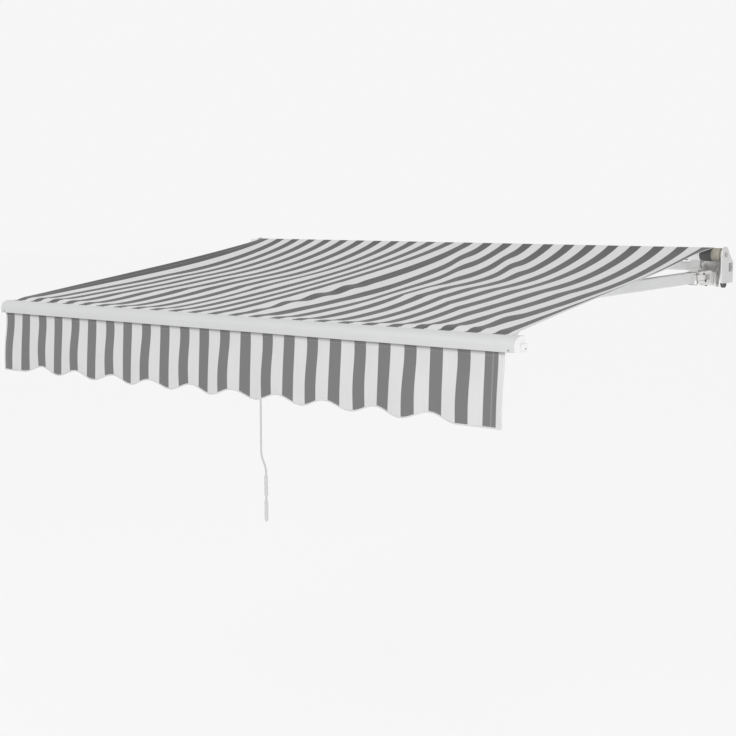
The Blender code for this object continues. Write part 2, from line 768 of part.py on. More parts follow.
def arm_head(name, frame, offset_side, kind, parent, gap=0.0, tongue_half=TONGUE_HALF):
    """A cast arm end. The pivot is at the frame's origin and the profile lies along +X, beside the pivot line."""
    near, far = (offset_side * (ARM_OFFSET + way * ARM_WIDE / 2) for way in (-1, 1))
    outline = hull(disc(KNUCKLE_RADIUS) + [(NECK_START, near), (NECK_START, far)])
    first = outline.index((NECK_START, min(near, far)))
    outline[first + 1:first + 1] = [(HEAD_LENGTH, min(near, far)), (HEAD_LENGTH, max(near, far))]
    head = extruded(name, [outline], ARM_TALL, cast_paint, frame, parent)
    wide = ARM_WIDE / 2 - ARM_WALL - CLEAR
    tall = ARM_TALL / 2 - ARM_WALL - CLEAR
    join(head, block(
        f"{name}_spigot",
        (HEAD_LENGTH - 0.010, offset_side * ARM_OFFSET - wide, -tall),
        (HEAD_LENGTH + SPIGOT_LENGTH, offset_side * ARM_OFFSET + wide, tall),
        place=frame,
        parent=parent,
        helper=True,
    ))
    past = KNUCKLE_RADIUS + 0.010
    if kind == "fork":
        slot = TONGUE_HALF + RUNNING
        slots = [(-slot, slot)]
    else:
        slots = [(tongue_half, ARM_TALL), (-ARM_TALL, -tongue_half)]
    for i, (low, high) in enumerate(slots):
        cut(head, block(
            f"{name}_slot_{i}",
            (-past, -0.060, low),
            (NECK_START - 0.001, 0.060, high),
            place=frame,
            parent=parent,
            helper=True,
        ))
    drill(head, PIVOT_PIN_RADIUS + CLEAR + gap, ARM_TALL, frame, parent)


def arm_profile(name, frame, offset_side, parent):
    start = HEAD_LENGTH + CLEAR
    length = ARM_LENGTH - 2 * start
    outer = rounded((-ARM_WIDE / 2, -ARM_TALL / 2), (ARM_WIDE / 2, ARM_TALL / 2), 0.007, 3)
    inner = square(ARM_WIDE / 2 - ARM_WALL, ARM_TALL / 2 - ARM_WALL)
    middle = Matrix.Translation((start + length / 2, offset_side * ARM_OFFSET, 0))
    place = frame @ middle @ axes((0, 1, 0), (0, 0, 1))
    extruded(name, [outer, inner], length, paint, place, parent)


def pivot_pin(name, frame, parent, fork_tall=ARM_TALL):
    """A headed pin through a fork, with a clip washer under it."""
    top = fork_tall / 2 + CLEAR
    profile = [
        (0, top + PIN_HEAD_THICK),
        (PIN_HEAD_RADIUS - 0.001, top + PIN_HEAD_THICK),
        (PIN_HEAD_RADIUS, top + PIN_HEAD_THICK - 0.001),
        (PIN_HEAD_RADIUS, top),
        (PIVOT_PIN_RADIUS, top),
        (PIVOT_PIN_RADIUS, -top),
        (PIN_HEAD_RADIUS, -top),
        (PIN_HEAD_RADIUS, -top - PIN_HEAD_THICK),
        (0, -top - PIN_HEAD_THICK),
    ]
    turned(name, profile, steel, frame, parent, 16)


def arm_spring(name, frame, offset_side, parent):
    """The tension spring and its cable inside the forearm, as one turned form with raised coils."""
    first = HEAD_LENGTH + SPIGOT_LENGTH + CLEAR
    last = ARM_LENGTH - HEAD_LENGTH - SPIGOT_LENGTH - CLEAR
    coil_start, coils, coil_pitch = first + 0.180, 11, 0.032
    profile = [(0, last), (0.003, last)]
    for i in range(coils, -1, -1):
        along = coil_start + coil_pitch * i
        profile += [(0.0085, along), (0.0060, along - coil_pitch / 2)]
    profile += [(0.003, coil_start - coil_pitch), (0.003, first), (0, first)]
    place = frame @ Matrix.Translation((0, offset_side * ARM_OFFSET, 0)) @ axes((0, 1, 0), (0, 0, 1))
    turned(name, profile, steel, place, parent, 8)


def shoulder_bracket(side, word):
    """The clamp that slides over the torsion bar, with two cheeks that hold the tilting block."""
    grip = half + CLEAR
    wide = 2 * (BLOCK_HALF + RUNNING + CHEEK_THICK)
    ring = rounded((-grip - CLAMP_WALL, -grip - CLAMP_WALL), (grip + CLAMP_WALL, grip + CLAMP_WALL), 0.005, 2)
    place = side_frame(side * SHOULDER_X, TORSION_Y)
    clamp = extruded(f"shoulder_clamp_{word}", [ring, square(grip, grip)], wide, cast_paint, place)
    back = TORSION_Y - grip - CLAMP_WALL + 0.003
    lock_z = TILT_Z - LOCK_RADIUS
    outline = hull(
        [(back, 0.016), (back, -grip - CLAMP_WALL + 0.002)]
        + disc(0.017, (TILT_Y, TILT_Z), 16)
        + disc(0.012, (TILT_Y - LOCK_RADIUS * math.sin(TILT_UP), lock_z), 12)
        + disc(0.012, (TILT_Y + LOCK_RADIUS * math.sin(TILT_DOWN), lock_z), 12)
    )
    room = LOCK_BOLT_RADIUS + RUNNING
    low, high = -90 - math.degrees(TILT_UP) - 1.0, -90 + math.degrees(TILT_DOWN) + 1.0
    slot = arc((TILT_Y, TILT_Z), LOCK_RADIUS + room, low, high, 5) + arc(
        (TILT_Y, TILT_Z), LOCK_RADIUS - room, high, low, 5
    )
    slot = widen_ends(slot, room, low, high)
    for cheek in (-1, 1):
        x = side * SHOULDER_X + cheek * (BLOCK_HALF + RUNNING + CHEEK_THICK / 2)
        join(clamp, extruded(
            f"{clamp.name}_cheek_{cheek}",
            [outline, disc(TILT_BOLT_RADIUS + CLEAR, (TILT_Y, TILT_Z), 16), slot],
            CHEEK_THICK,
            None,
            side_frame(x),
            helper=True,
        ))


def widen_ends(slot, room, low, high):
    """Rounds both ends of the arc slot."""
    half_count = len(slot) // 2
    outer, inner = slot[:half_count], slot[half_count:]
    ends = []
    for angle, start in ((high, high), (low, low + 180)):
        a = math.radians(angle)
        centre = (TILT_Y + LOCK_RADIUS * math.cos(a), TILT_Z + LOCK_RADIUS * math.sin(a))
        ends.append(arc(centre, room, start, start + 180, 4)[1:-1])
    return outer + ends[0] + inner + ends[1]


def shoulder_block(side, word, tilt):
    """The cast block that tilts between the cheeks and holds the arm's first pivot."""
    plane = arm_plane(side)
    lock_z = TILT_Z - LOCK_RADIUS
    neck = SHOULDER_Y + 0.036
    outline = hull(
        disc(0.015, (TILT_Y, TILT_Z), 16)
        + [(neck, SHOULDER_Z + 0.0255), (neck, SHOULDER_Z - 0.0285), (neck + 0.016, SHOULDER_Z - 0.0285)]
        + disc(0.009, (TILT_Y, lock_z), 10)
    )
    body = extruded(
        f"shoulder_block_{word}", [outline], 2 * BLOCK_HALF, cast_paint, side_frame(side * SHOULDER_X), tilt
    )
    lug = hull(disc(KNUCKLE_RADIUS + 0.002) + [(-BLOCK_HALF, 0.036), (BLOCK_HALF, 0.036), (-BLOCK_HALF, 0.041), (BLOCK_HALF, 0.041)])
    join(body, extruded(f"{body.name}_lugs", [lug], ARM_TALL, None, plane, tilt, True))
    slot = TONGUE_HALF + RUNNING
    cut(body, block(
        f"{body.name}_slot", (-0.060, -0.060, -slot), (0.060, BLOCK_SLOT_DEPTH, slot),
        place=plane, parent=tilt, helper=True,
    ))
    drill(body, PIVOT_PIN_RADIUS + CLEAR, ARM_TALL, plane, tilt)
    for y, z, radius in ((TILT_Y, TILT_Z, TILT_BOLT_RADIUS), (TILT_Y, lock_z, LOCK_BOLT_RADIUS)):
        drill(body, radius + CLEAR, 0.050, side_frame(side * SHOULDER_X, y, z), tilt)


def hex_bolt(name, side, y, z, radius, head, parent):
    """A bolt through both cheeks, its head on the outside and a nut on the inside."""
    reach = BLOCK_HALF + RUNNING + CHEEK_THICK + CLEAR
    place = axes((0, 1, 0), (0, 0, side), (side * SHOULDER_X, y, z))
    bolt = extruded(name, [disc(radius, count=14)], 2 * reach + 0.004, steel, place, parent)
    across = disc(head, count=6)
    for i, middle in enumerate((reach + 0.003, -reach - 0.003)):
        join(bolt, extruded(
            f"{name}_hex_{i}", [across], 0.006, None, place @ Matrix.Translation((0, 0, middle)), parent, True
        ))


def bar_bracket(side, word, parent):
    """A fork on a foot, screwed to the back of the front bar."""
    wrist = Matrix.Translation((side * SHOULDER_X, WRIST_Y, WRIST_Z)) @ Matrix.Rotation(ARM_SLOPE, 4, "X")
    foot_y = -BAR_BRACKET_REACH + BAR_BRACKET_FOOT
    lug = hull(disc(KNUCKLE_RADIUS) + [
        (-BAR_BRACKET_HALF, foot_y), (BAR_BRACKET_HALF, foot_y),
        (-BAR_BRACKET_HALF, foot_y - 0.0025), (BAR_BRACKET_HALF, foot_y - 0.0025),
    ])
    low = (side * SHOULDER_X - BAR_BRACKET_HALF - 0.002, BAR_BACK + CLEAR, WRIST_Z - ARM_TALL / 2 + 0.0005)
    high = (side * SHOULDER_X + BAR_BRACKET_HALF + 0.002, BAR_BACK + BAR_BRACKET_FOOT + 0.001,
            WRIST_Z + ARM_TALL / 2 - 0.0035)
    bracket = block(f"bar_bracket_{word}", low, high, cast_paint, parent=parent)
    fork = extruded(f"{bracket.name}_lugs", [lug], WRIST_FORK_TALL, None, wrist, parent, True)
    slot = WRIST_TONGUE_HALF + RUNNING
    cut(fork, block(
        f"{bracket.name}_slot",
        (-0.060, -BAR_BRACKET_REACH + BAR_BRACKET_FOOT + 0.003, -slot),
        (0.060, 0.060, slot),
        place=wrist,
        parent=parent,
        helper=True,
    ))
    join(bracket, fork)
    drill(bracket, PIVOT_PIN_RADIUS + CLEAR, ARM_TALL, wrist, parent)


def folding_arm(side, word):
    tilt = add_pivot(f"tilt_axis_{word}", Matrix.Translation((side * SHOULDER_X, TILT_Y, TILT_Z)))
    shoulder_bracket(side, word)
    shoulder_block(side, word, tilt)
    hex_bolt(f"tilt_bolt_{word}", side, TILT_Y, TILT_Z, TILT_BOLT_RADIUS, 0.0100, tilt)
    hex_bolt(f"lock_bolt_{word}", side, TILT_Y, TILT_Z - LOCK_RADIUS, LOCK_BOLT_RADIUS, 0.0080, tilt)
    plane = arm_plane(side)
    upper_frame = plane @ turn(-math.pi / 2 - side * ARM_OPEN)
    upper = add_pivot(f"shoulder_axis_{word}", upper_frame, tilt)
    pivot_pin(f"shoulder_pin_{word}", plane, tilt)
    arm_head(f"upper_arm_shoulder_end_{word}", upper_frame, -side, "tongue", upper)
    arm_profile(f"upper_arm_{word}", upper_frame, -side, upper)
    back_frame = upper_frame @ Matrix.Translation((ARM_LENGTH, 0, 0)) @ turn(math.pi)
    arm_head(f"upper_arm_elbow_end_{word}", back_frame, side, "fork", upper)
    elbow_frame = upper_frame @ Matrix.Translation((ARM_LENGTH, 0, 0))
    pivot_pin(f"elbow_pin_{word}", elbow_frame, upper)
    fore_frame = elbow_frame @ turn(side * 2 * ARM_OPEN)
    fore = add_pivot(f"elbow_axis_{word}", fore_frame, upper)
    arm_head(f"forearm_elbow_end_{word}", fore_frame, -side, "tongue", fore)
    arm_profile(f"forearm_{word}", fore_frame, -side, fore)
    arm_spring(f"arm_spring_{word}", fore_frame, -side, fore)
    end_frame = fore_frame @ Matrix.Translation((ARM_LENGTH, 0, 0)) @ turn(math.pi)
    gap = OPEN_PIVOT_GAP if side < 0 else 0.0
    arm_head(f"forearm_wrist_end_{word}", end_frame, side, "tongue", fore, gap, WRIST_TONGUE_HALF)
    return fore


fore_axes = {side: folding_arm(side, word) for side, word in ((-1, "left"), (1, "right"))}


# Front bar, on the right wrist's axis in the tree of joints

wrist_place = Matrix.Translation((SHOULDER_X, WRIST_Y, WRIST_Z)) @ Matrix.Rotation(ARM_SLOPE, 4, "X")
wrist = add_pivot("wrist_axis_right", wrist_place, fore_axes[1])
for side, word in ((-1, "left"), (1, "right")):
    bar_bracket(side, word, wrist)
    pin_place = Matrix.Translation((side * SHOULDER_X, WRIST_Y, WRIST_Z)) @ Matrix.Rotation(ARM_SLOPE, 4, "X")
    pivot_pin(f"wrist_pin_{word}", pin_place, wrist, WRIST_FORK_TALL)

CANOPY_GROOVE = (0.014, BAR_HEIGHT - 0.0075)
VALANCE_GROOVE = (BAR_DEPTH - 0.0095, 0.0075)


def keyhole(centre, edge, upward):
    """A round groove with a narrow mouth to the given edge height."""
    mouth = GROOVE_MOUTH / 2
    open_angle = math.degrees(math.asin(mouth / GROOVE_RADIUS))
    if upward:
        ring = arc(centre, GROOVE_RADIUS, 90 - open_angle, -270 + open_angle, 10)
        return [(centre[0] + mouth, edge)] + ring + [(centre[0] - mouth, edge)]
    ring = arc(centre, GROOVE_RADIUS, 270 - open_angle, -90 + open_angle, 10)
    return [(centre[0] - mouth, edge)] + ring + [(centre[0] + mouth, edge)]


def bar_nose():
    """The bar's front from its foot to the flat on top, one quarter of an ellipse."""
    deep, tall = BAR_DEPTH - BAR_TOP_FLAT, BAR_HEIGHT - BAR_NOSE
    turns = [math.radians(90 * i / NOSE_STEPS) for i in range(NOSE_STEPS, -1, -1)]
    curve = [(BAR_TOP_FLAT + deep * math.sin(a), BAR_NOSE + tall * math.cos(a)) for a in turns]
    return [(BAR_DEPTH - FOOT_CHAMFER, 0), (BAR_DEPTH, FOOT_CHAMFER)] + curve


def bar_outline():
    """Local X runs outwards from the bar's back and local Y upwards from its foot."""
    grooves = keyhole(VALANCE_GROOVE, 0, False), keyhole(CANOPY_GROOVE, BAR_HEIGHT, True)
    return [(0, 0)] + grooves[0] + bar_nose() + grooves[1] + [(0, BAR_HEIGHT)]


def bar_room():
    """The hollow of the profile, clear of both grooves."""
    w, h = BAR_WALL, BAR_HEIGHT
    groove_foot = CANOPY_GROOVE[1] - GROOVE_RADIUS - w
    return [
        (w, w),
        (VALANCE_GROOVE[0] - GROOVE_RADIUS - w, w),
        (VALANCE_GROOVE[0] - GROOVE_RADIUS - w, VALANCE_GROOVE[1] + GROOVE_RADIUS + w),
        (BAR_DEPTH - 2 * w, VALANCE_GROOVE[1] + GROOVE_RADIUS + w),
        (BAR_DEPTH - 0.014, BAR_HEIGHT * 0.62),
        (BAR_TOP_FLAT + 0.010, h - 2 * w),
        (CANOPY_GROOVE[0] + GROOVE_RADIUS + w, h - 2 * w),
        (CANOPY_GROOVE[0] + GROOVE_RADIUS + w, groove_foot),
        (w, groove_foot),
    ]


bar_frame = axes((0, -1, 0), (0, 0, 1), (0, BAR_BACK, BAR_FOOT))
bar_run = BAR_LENGTH - 2 * (CAP_THICK + CLEAR)
extruded("front_bar", [bar_outline(), bar_room()], bar_run, paint, bar_frame, wrist)


def front_bar_cap(side, word):
    outline = [(0, 0)] + bar_nose() + [(0, BAR_HEIGHT)]
    x = side * (BAR_LENGTH / 2 - CAP_THICK / 2)
    cap = extruded(
        f"front_bar_cap_{word}", [outline], CAP_THICK, cap_plastic,
        axes((0, -1, 0), (0, 0, 1), (x, BAR_BACK, BAR_FOOT)), wrist,
    )
    w = BAR_WALL + CLEAR
    plug = (x - 0.012, BAR_BACK - 0.040, BAR_FOOT + w), (x + 0.012, BAR_BACK - w, BAR_FOOT + 0.030)
    join(cap, block(f"{cap.name}_plug", *plug, parent=wrist, helper=True))
    return cap


for side, word in ((-1, "left"), (1, "right")):
    front_bar_cap(side, word)

groove_y = BAR_BACK - CANOPY_GROOVE[0]
groove_z = BAR_FOOT + CANOPY_GROOVE[1]
valance_y = BAR_BACK - VALANCE_GROOVE[0]
valance_z = BAR_FOOT + VALANCE_GROOVE[1]


def keder(name, y, z):
    """The round piping sewn into the cloth's edge, held by the bar's groove."""
    place = side_frame(cloth_middle, y, z)
    extruded(name, [disc(KEDER_RADIUS, count=10)], CLOTH_WIDTH, white_cloth, place, wrist)


keder("canopy_piping", groove_y, groove_z)
keder("valance_piping", valance_y, valance_z)


# Canopy: one sheet from the top of the roll to the front bar's groove

CANOPY_END = Vector((0, groove_y + 0.004, BAR_TOP + CLEAR + CLOTH_THICK / 2))


START_DIP = 0.30  # the sagging cloth leaves the roll this angle further round than a taut one


def canopy_start():
    """Where the cloth leaves the roll."""
    radius = ROLL_RADIUS + CLEAR + CLOTH_THICK / 2
    out, down = ROLLER_Y - CANOPY_END.y, ROLLER_Z - CANOPY_END.z
    angle = math.atan2(down, out) + math.asin(radius / math.hypot(out, down)) + START_DIP
    return Vector((0, ROLLER_Y - radius * math.sin(angle), ROLLER_Z + radius * math.cos(angle)))


CANOPY_START = canopy_start()

# How the sag changes across the sheet: place, width, and share of the sag added or taken there.
# Over both arms it stays high enough to clear the forearms.
SAG_CHANGES = (
    (-1.440, 0.060, -0.62),
    (-1.180, 0.150, -0.22),
    (-0.050, 0.150, -0.48),
    (0.320, 0.110, 0.18),
    (0.640, 0.120, 0.06),
    (1.180, 0.150, -0.22),
    (1.410, 0.080, -0.50),
)
CANOPY_SAG = 0.045
SAG_START = 0.12  # share of the run in which the cloth drops from the roll


def fold_height(x, t):
    """Height of the cloth over a flat sheet, at a place across and a share of the way out."""
    sag = CANOPY_SAG * (1 + sum(share * math.exp(-((x - place) / width) ** 2) for place, width, share in SAG_CHANGES))
    return -sag * (1 - math.exp(-t / SAG_START)) * (1 - t**3.2)


def stripe_edges():
    edges = []
    for pair in range(STRIPE_PAIRS):
        left = CLOTH_LEFT + pair * STRIPE_PITCH
        edges += [left, left + DARK_SHARE * STRIPE_PITCH]
    return edges


def cloth_sheet(name, columns, rows, point, parent, is_dark):
    """An open grid moved to its place point by point, thickened by Solidify, with a colour for each stripe."""
    mesh = bpy.data.meshes.new(name)
    work = bmesh.new()
    across = len(columns) - 1
    bmesh.ops.create_grid(work, x_segments=across, y_segments=rows, size=0.5)
    for vert in work.verts:
        column = round((vert.co.x + 0.5) * across)
        vert.co = point(columns[column], vert.co.y + 0.5)
    for face in work.faces:
        face.material_index = 0 if is_dark(face.calc_center_median().x) else 1
        face.smooth = True
    bmesh.ops.recalc_face_normals(work, faces=work.faces)
    work.to_mesh(mesh)
    work.free()
    sheet = add_object(name, mesh, grey_cloth, parent, None)
    mesh.materials.append(white_cloth)
    thicken = sheet.modifiers.new("cloth", "SOLIDIFY")
    thicken.thickness = CLOTH_THICK
    thicken.offset = 0
    return sheet


def is_dark_stripe(x):
    return 0 <= x - CLOTH_LEFT <= CLOTH_WIDTH and (x - CLOTH_LEFT) % STRIPE_PITCH < DARK_SHARE * STRIPE_PITCH


def canopy_point(x, t):
    point = CANOPY_START.lerp(CANOPY_END, t)
    return Vector((x, point.y, point.z + fold_height(x, t)))


tilt_right = bpy.data.objects["tilt_axis_right"]
cloth_sheet("canopy", stripe_edges(), CANOPY_ROWS, canopy_point, tilt_right, is_dark_stripe)


# Valance: hangs from the bar's lower groove, with a scalloped foot

def scallop(x):
    """Rise of the valance's foot over its lowest line; both ends hang straight."""
    along = (x - SCALLOP_MIDDLE) / SCALLOP_PERIOD
    if abs(along) > SCALLOP_COUNT / 2 + 0.5:
        return 0.0
    phase = 2 * math.pi * (along + SCALLOP_COUNT / 2)
    return SCALLOP_DEPTH * (0.5 + 0.5 * math.cos(phase))


def valance_point(x, t):
    top = BAR_FOOT + CLOTH_THICK
    foot = BAR_FOOT - VALANCE_DROP + scallop(x)
    ripple = 0.006 * t * math.sin(2 * math.pi * x / 0.47 + 1.1) + 0.004 * t * math.sin(2 * math.pi * x / 0.29)
    return Vector((x, valance_y - VALANCE_LEAN * t - ripple, top + (foot - top) * t))


def valance_columns():
    start = SCALLOP_MIDDLE - SCALLOP_PERIOD * (SCALLOP_COUNT / 2 + 1)
    step = SCALLOP_PERIOD / SCALLOP_COLUMNS
    inner = [start + step * i for i in range((SCALLOP_COUNT + 2) * SCALLOP_COLUMNS + 1)]
    left, right = CLOTH_LEFT - VALANCE_OVERHANG, CLOTH_RIGHT + VALANCE_OVERHANG
    return [left] + [x for x in inner if left + step / 3 < x < right - step / 3] + [right]


cloth_sheet("valance", valance_columns(), 4, valance_point, wrist, is_dark_stripe)
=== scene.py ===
# Striped folding-arm awning: finishes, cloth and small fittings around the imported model.
import json
import math

import bpy
import numpy as np
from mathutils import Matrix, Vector


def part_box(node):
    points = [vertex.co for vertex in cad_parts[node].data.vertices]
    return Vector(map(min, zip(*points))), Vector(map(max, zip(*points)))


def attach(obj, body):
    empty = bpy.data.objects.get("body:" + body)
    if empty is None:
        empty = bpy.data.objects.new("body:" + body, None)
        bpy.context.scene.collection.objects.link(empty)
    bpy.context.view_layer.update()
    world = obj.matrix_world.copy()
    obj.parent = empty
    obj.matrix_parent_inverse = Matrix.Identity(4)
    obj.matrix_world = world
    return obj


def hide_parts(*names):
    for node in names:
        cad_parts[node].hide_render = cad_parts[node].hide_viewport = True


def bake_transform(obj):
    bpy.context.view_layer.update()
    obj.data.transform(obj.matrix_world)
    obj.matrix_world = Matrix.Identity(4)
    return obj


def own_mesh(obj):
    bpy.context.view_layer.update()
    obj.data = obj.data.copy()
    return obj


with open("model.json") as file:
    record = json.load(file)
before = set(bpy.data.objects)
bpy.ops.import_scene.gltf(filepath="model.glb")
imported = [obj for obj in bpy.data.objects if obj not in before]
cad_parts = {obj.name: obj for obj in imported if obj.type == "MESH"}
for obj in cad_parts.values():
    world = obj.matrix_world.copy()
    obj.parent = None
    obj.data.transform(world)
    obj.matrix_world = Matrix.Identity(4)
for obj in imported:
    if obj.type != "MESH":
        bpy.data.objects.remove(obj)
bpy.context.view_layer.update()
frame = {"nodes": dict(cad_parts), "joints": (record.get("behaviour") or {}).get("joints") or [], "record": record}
nodes = frame["nodes"]
scene = bpy.context.scene
print("awning: loaded", len(nodes), "solids")


# Camera, at the photograph's place

photoCamera = {"place": (3.9030, -5.9002, 0.2805), "down": 7.0311, "turn": 38.0426, "lens": 64.04}

cameraData = bpy.data.cameras.new("photoView")
cameraData.lens = photoCamera["lens"]
cameraData.sensor_width = 36
cameraData.clip_end = 300
camera = bpy.data.objects.new("photoView", cameraData)
camera.location = photoCamera["place"]
camera.rotation_euler = (math.radians(90 - photoCamera["down"]), 0, math.radians(photoCamera["turn"]))
scene.collection.objects.link(camera)
scene.camera = camera
print("awning: camera stands")


# Helpers for node trees and meshes

def put(tree, kind, settings=None, inputs=None):
    # adds a node; an input is a value, or the socket that feeds it
    node = tree.nodes.new(kind)
    place = len(tree.nodes)
    node.location = (200 * (place % 9), -230 * (place // 9))
    for name, value in (settings or {}).items():
        setattr(node, name, value)
    for key, value in (inputs or {}).items():
        if isinstance(value, bpy.types.NodeSocket):
            tree.links.new(value, node.inputs[key])
        else:
            node.inputs[key].default_value = value
    return node


def outOf(tree, kind, inputs):
    # the first output of a new node
    return put(tree, kind, None, inputs).outputs[0]


def sums(tree, operation, first, second=0.0, third=0.0, clamp=False):
    # one step of arithmetic, in a shader tree or a geometry tree
    settings = {"operation": operation, "use_clamp": clamp}
    return put(tree, "ShaderNodeMath", settings, {0: first, 1: second, 2: third}).outputs[0]


def times(tree, first, second):
    return sums(tree, "MULTIPLY", first, second)


def newTree(name, kind, inputs, outputs):
    # a node group with named sockets; kind is Shader or Geometry
    tree = bpy.data.node_groups.new(name, f"{kind}NodeTree")
    for label, socketType, value in inputs:
        socket = tree.interface.new_socket(name=label, in_out="INPUT", socket_type=f"NodeSocket{socketType}")
        if value is not None:
            socket.default_value = value
    for label, socketType in outputs:
        tree.interface.new_socket(name=label, in_out="OUTPUT", socket_type=f"NodeSocket{socketType}")
    return tree, put(tree, "NodeGroupInput").outputs, put(tree, "NodeGroupOutput").inputs


def give(tree, outlets, values):
    # joins what was made to the sockets that take it
    for name, value in values.items():
        tree.links.new(value, outlets[name])
    return tree


def growthTree(name, inputs):
    # a geometry group that takes points or edges and gives what grows on them
    return newTree(name, "Geometry", [("Geometry", "Geometry", None)] + inputs, [("Geometry", "Geometry")])


def noise(tree, vector, scale, detail=2.0, roughness=0.5):
    wanted = {"Vector": vector, "Scale": scale, "Detail": detail, "Roughness": roughness}
    return put(tree, "ShaderNodeTexNoise", None, wanted).outputs["Fac"]


def mixColour(tree, factor, first, second):
    return put(tree, "ShaderNodeMix", {"data_type": "RGBA"}, {0: factor, 6: first, 7: second}).outputs[2]


def grey(value, warm=0.0):
    return (value * (1 + warm), value, value * (1 - warm), 1.0)


def meshObject(name, points, faces, material, smooth=True):
    mesh = bpy.data.meshes.new(name)
    mesh.from_pydata([tuple(p) for p in points], [], faces)
    mesh.materials.append(material)
    mesh.polygons.foreach_set("use_smooth", [smooth] * len(mesh.polygons))
    obj = bpy.data.objects.new(name, mesh)
    scene.collection.objects.link(obj)
    return obj


def gridFaces(rows, columns):
    # quads between points that were written row by row
    return [(r * columns + c, (r + 1) * columns + c, (r + 1) * columns + c + 1, r * columns + c + 1)
            for r in range(rows - 1) for c in range(columns - 1)]


def setMap(obj, flatPlaces):
    # UV in metres of flat cloth, so that stripes and threads follow the sheet
    layer = obj.data.uv_layers.new(name="clothMap")
    for loop in obj.data.loops:
        layer.data[loop.index].uv = flatPlaces[loop.vertex_index]


def finishMesh(obj):
    # leaves the evaluated shape as a plain mesh, with no live modifier
    made = bpy.data.meshes.new_from_object(obj.evaluated_get(bpy.context.evaluated_depsgraph_get()))
    made.name = obj.name
    obj.modifiers.clear()
    obj.data = made
    return obj


def thickened(obj, thick):
    # gives a sheet its thickness, half to each side
    solid = obj.modifiers.new("thickness", "SOLIDIFY")
    solid.thickness = thick
    solid.offset = 0
    bpy.context.view_layer.update()
    return finishMesh(obj)


def grown(name, tree, values, points, edges=(), aims=None):
    # runs a geometry tree over a few points and keeps what grows on them
    mesh = bpy.data.meshes.new(name)
    mesh.from_pydata([tuple(p) for p in points], list(edges), [])
    if aims:
        aim = mesh.attributes.new("aim", "FLOAT_VECTOR", "POINT")
        aim.data.foreach_set("vector", [part for way in aims for part in way])
    obj = bpy.data.objects.new(name, mesh)
    modifier = obj.modifiers.new("grow", "NODES")
    modifier.node_group = tree
    for item in tree.interface.items_tree:
        if item.item_type == "SOCKET" and item.in_out == "INPUT" and item.name in values:
            modifier[item.identifier] = values[item.name]
    scene.collection.objects.link(obj)
    bpy.context.view_layer.update()
    return finishMesh(obj)


def dressed(tree, geometry, material, result, smooth=True):
    # every geometry tree ends so: real meshes, smooth where wanted, with their material
    if smooth:
        geometry = outOf(tree, "GeometryNodeSetShadeSmooth", {"Geometry": geometry})
    real = outOf(tree, "GeometryNodeRealizeInstances", {"Geometry": geometry})
    coloured = outOf(tree, "GeometryNodeSetMaterial", {"Geometry": real, "Material": material})
    return give(tree, result, {"Geometry": coloured})


# Shader groups

def clothWeaveGroup():
    # stripes woven into plain-weave acrylic: bands of colour, threads and faint streaks along the warp
    tree, given, result = newTree("clothWeave", "Shader", [
        ("Vector", "Vector", None), ("Dark", "Color", grey(0.2)), ("Pale", "Color", grey(0.7)),
        ("Pitch", "Float", 0.121), ("Dark Share", "Float", 0.4755), ("Start", "Float", 0.0),
        ("Threads", "Float", 900.0), ("Streaks", "Float", 0.05),
    ], [("Color", "Color"), ("Height", "Float"), ("Roughness", "Float")])
    parts = put(tree, "ShaderNodeSeparateXYZ", None, {0: given["Vector"]}).outputs
    turns = sums(tree, "DIVIDE", sums(tree, "SUBTRACT", parts[0], given["Start"]), given["Pitch"])
    halfShare = times(tree, given["Dark Share"], 0.5)
    centred = sums(tree, "SUBTRACT", sums(tree, "FRACT", sums(
        tree, "ADD", sums(tree, "SUBTRACT", turns, halfShare), 0.5)), 0.5)
    inside = times(tree, sums(tree, "SUBTRACT", halfShare, sums(tree, "ABSOLUTE", centred)), given["Pitch"])
    softEdge = 900.0  # one over the metres in which one colour takes over from the other
    mask = sums(tree, "MULTIPLY_ADD", inside, softEdge, 0.5, clamp=True)
    stripes = mixColour(tree, mask, given["Pale"], given["Dark"])
    turn = 2 * math.pi
    warp = sums(tree, "SINE", times(tree, times(tree, parts[0], given["Threads"]), turn))
    weft = sums(tree, "SINE", times(tree, times(tree, parts[1], given["Threads"]), turn))
    weave = sums(tree, "MULTIPLY_ADD", times(tree, warp, weft), 0.5, 0.5)
    stretched = put(tree, "ShaderNodeVectorMath", {"operation": "MULTIPLY"},
                    {0: given["Vector"], 1: (260.0, 5.0, 1.0)}).outputs[0]
    streak = noise(tree, stretched, 1.0, 3.0)
    cloudy = noise(tree, given["Vector"], 2.6, 4.0, 0.6)
    tone = sums(tree, "ADD", times(tree, streak, 0.6), times(tree, cloudy, 0.4))
    dip = times(tree, sums(tree, "SUBTRACT", 1.0, tone), given["Streaks"])
    thready = times(tree, sums(tree, "SUBTRACT", 1.0, weave), 0.05)
    light = sums(tree, "SUBTRACT", sums(tree, "SUBTRACT", 1.0, dip), thready)
    toned = put(tree, "ShaderNodeVectorMath", {"operation": "SCALE"}, {0: stripes, "Scale": light}).outputs[0]
    return give(tree, result, {
        "Color": toned,
        "Height": sums(tree, "ADD", weave, times(tree, streak, 0.5)),
        "Roughness": sums(tree, "MULTIPLY_ADD", tone, 0.12, 0.80),
    })


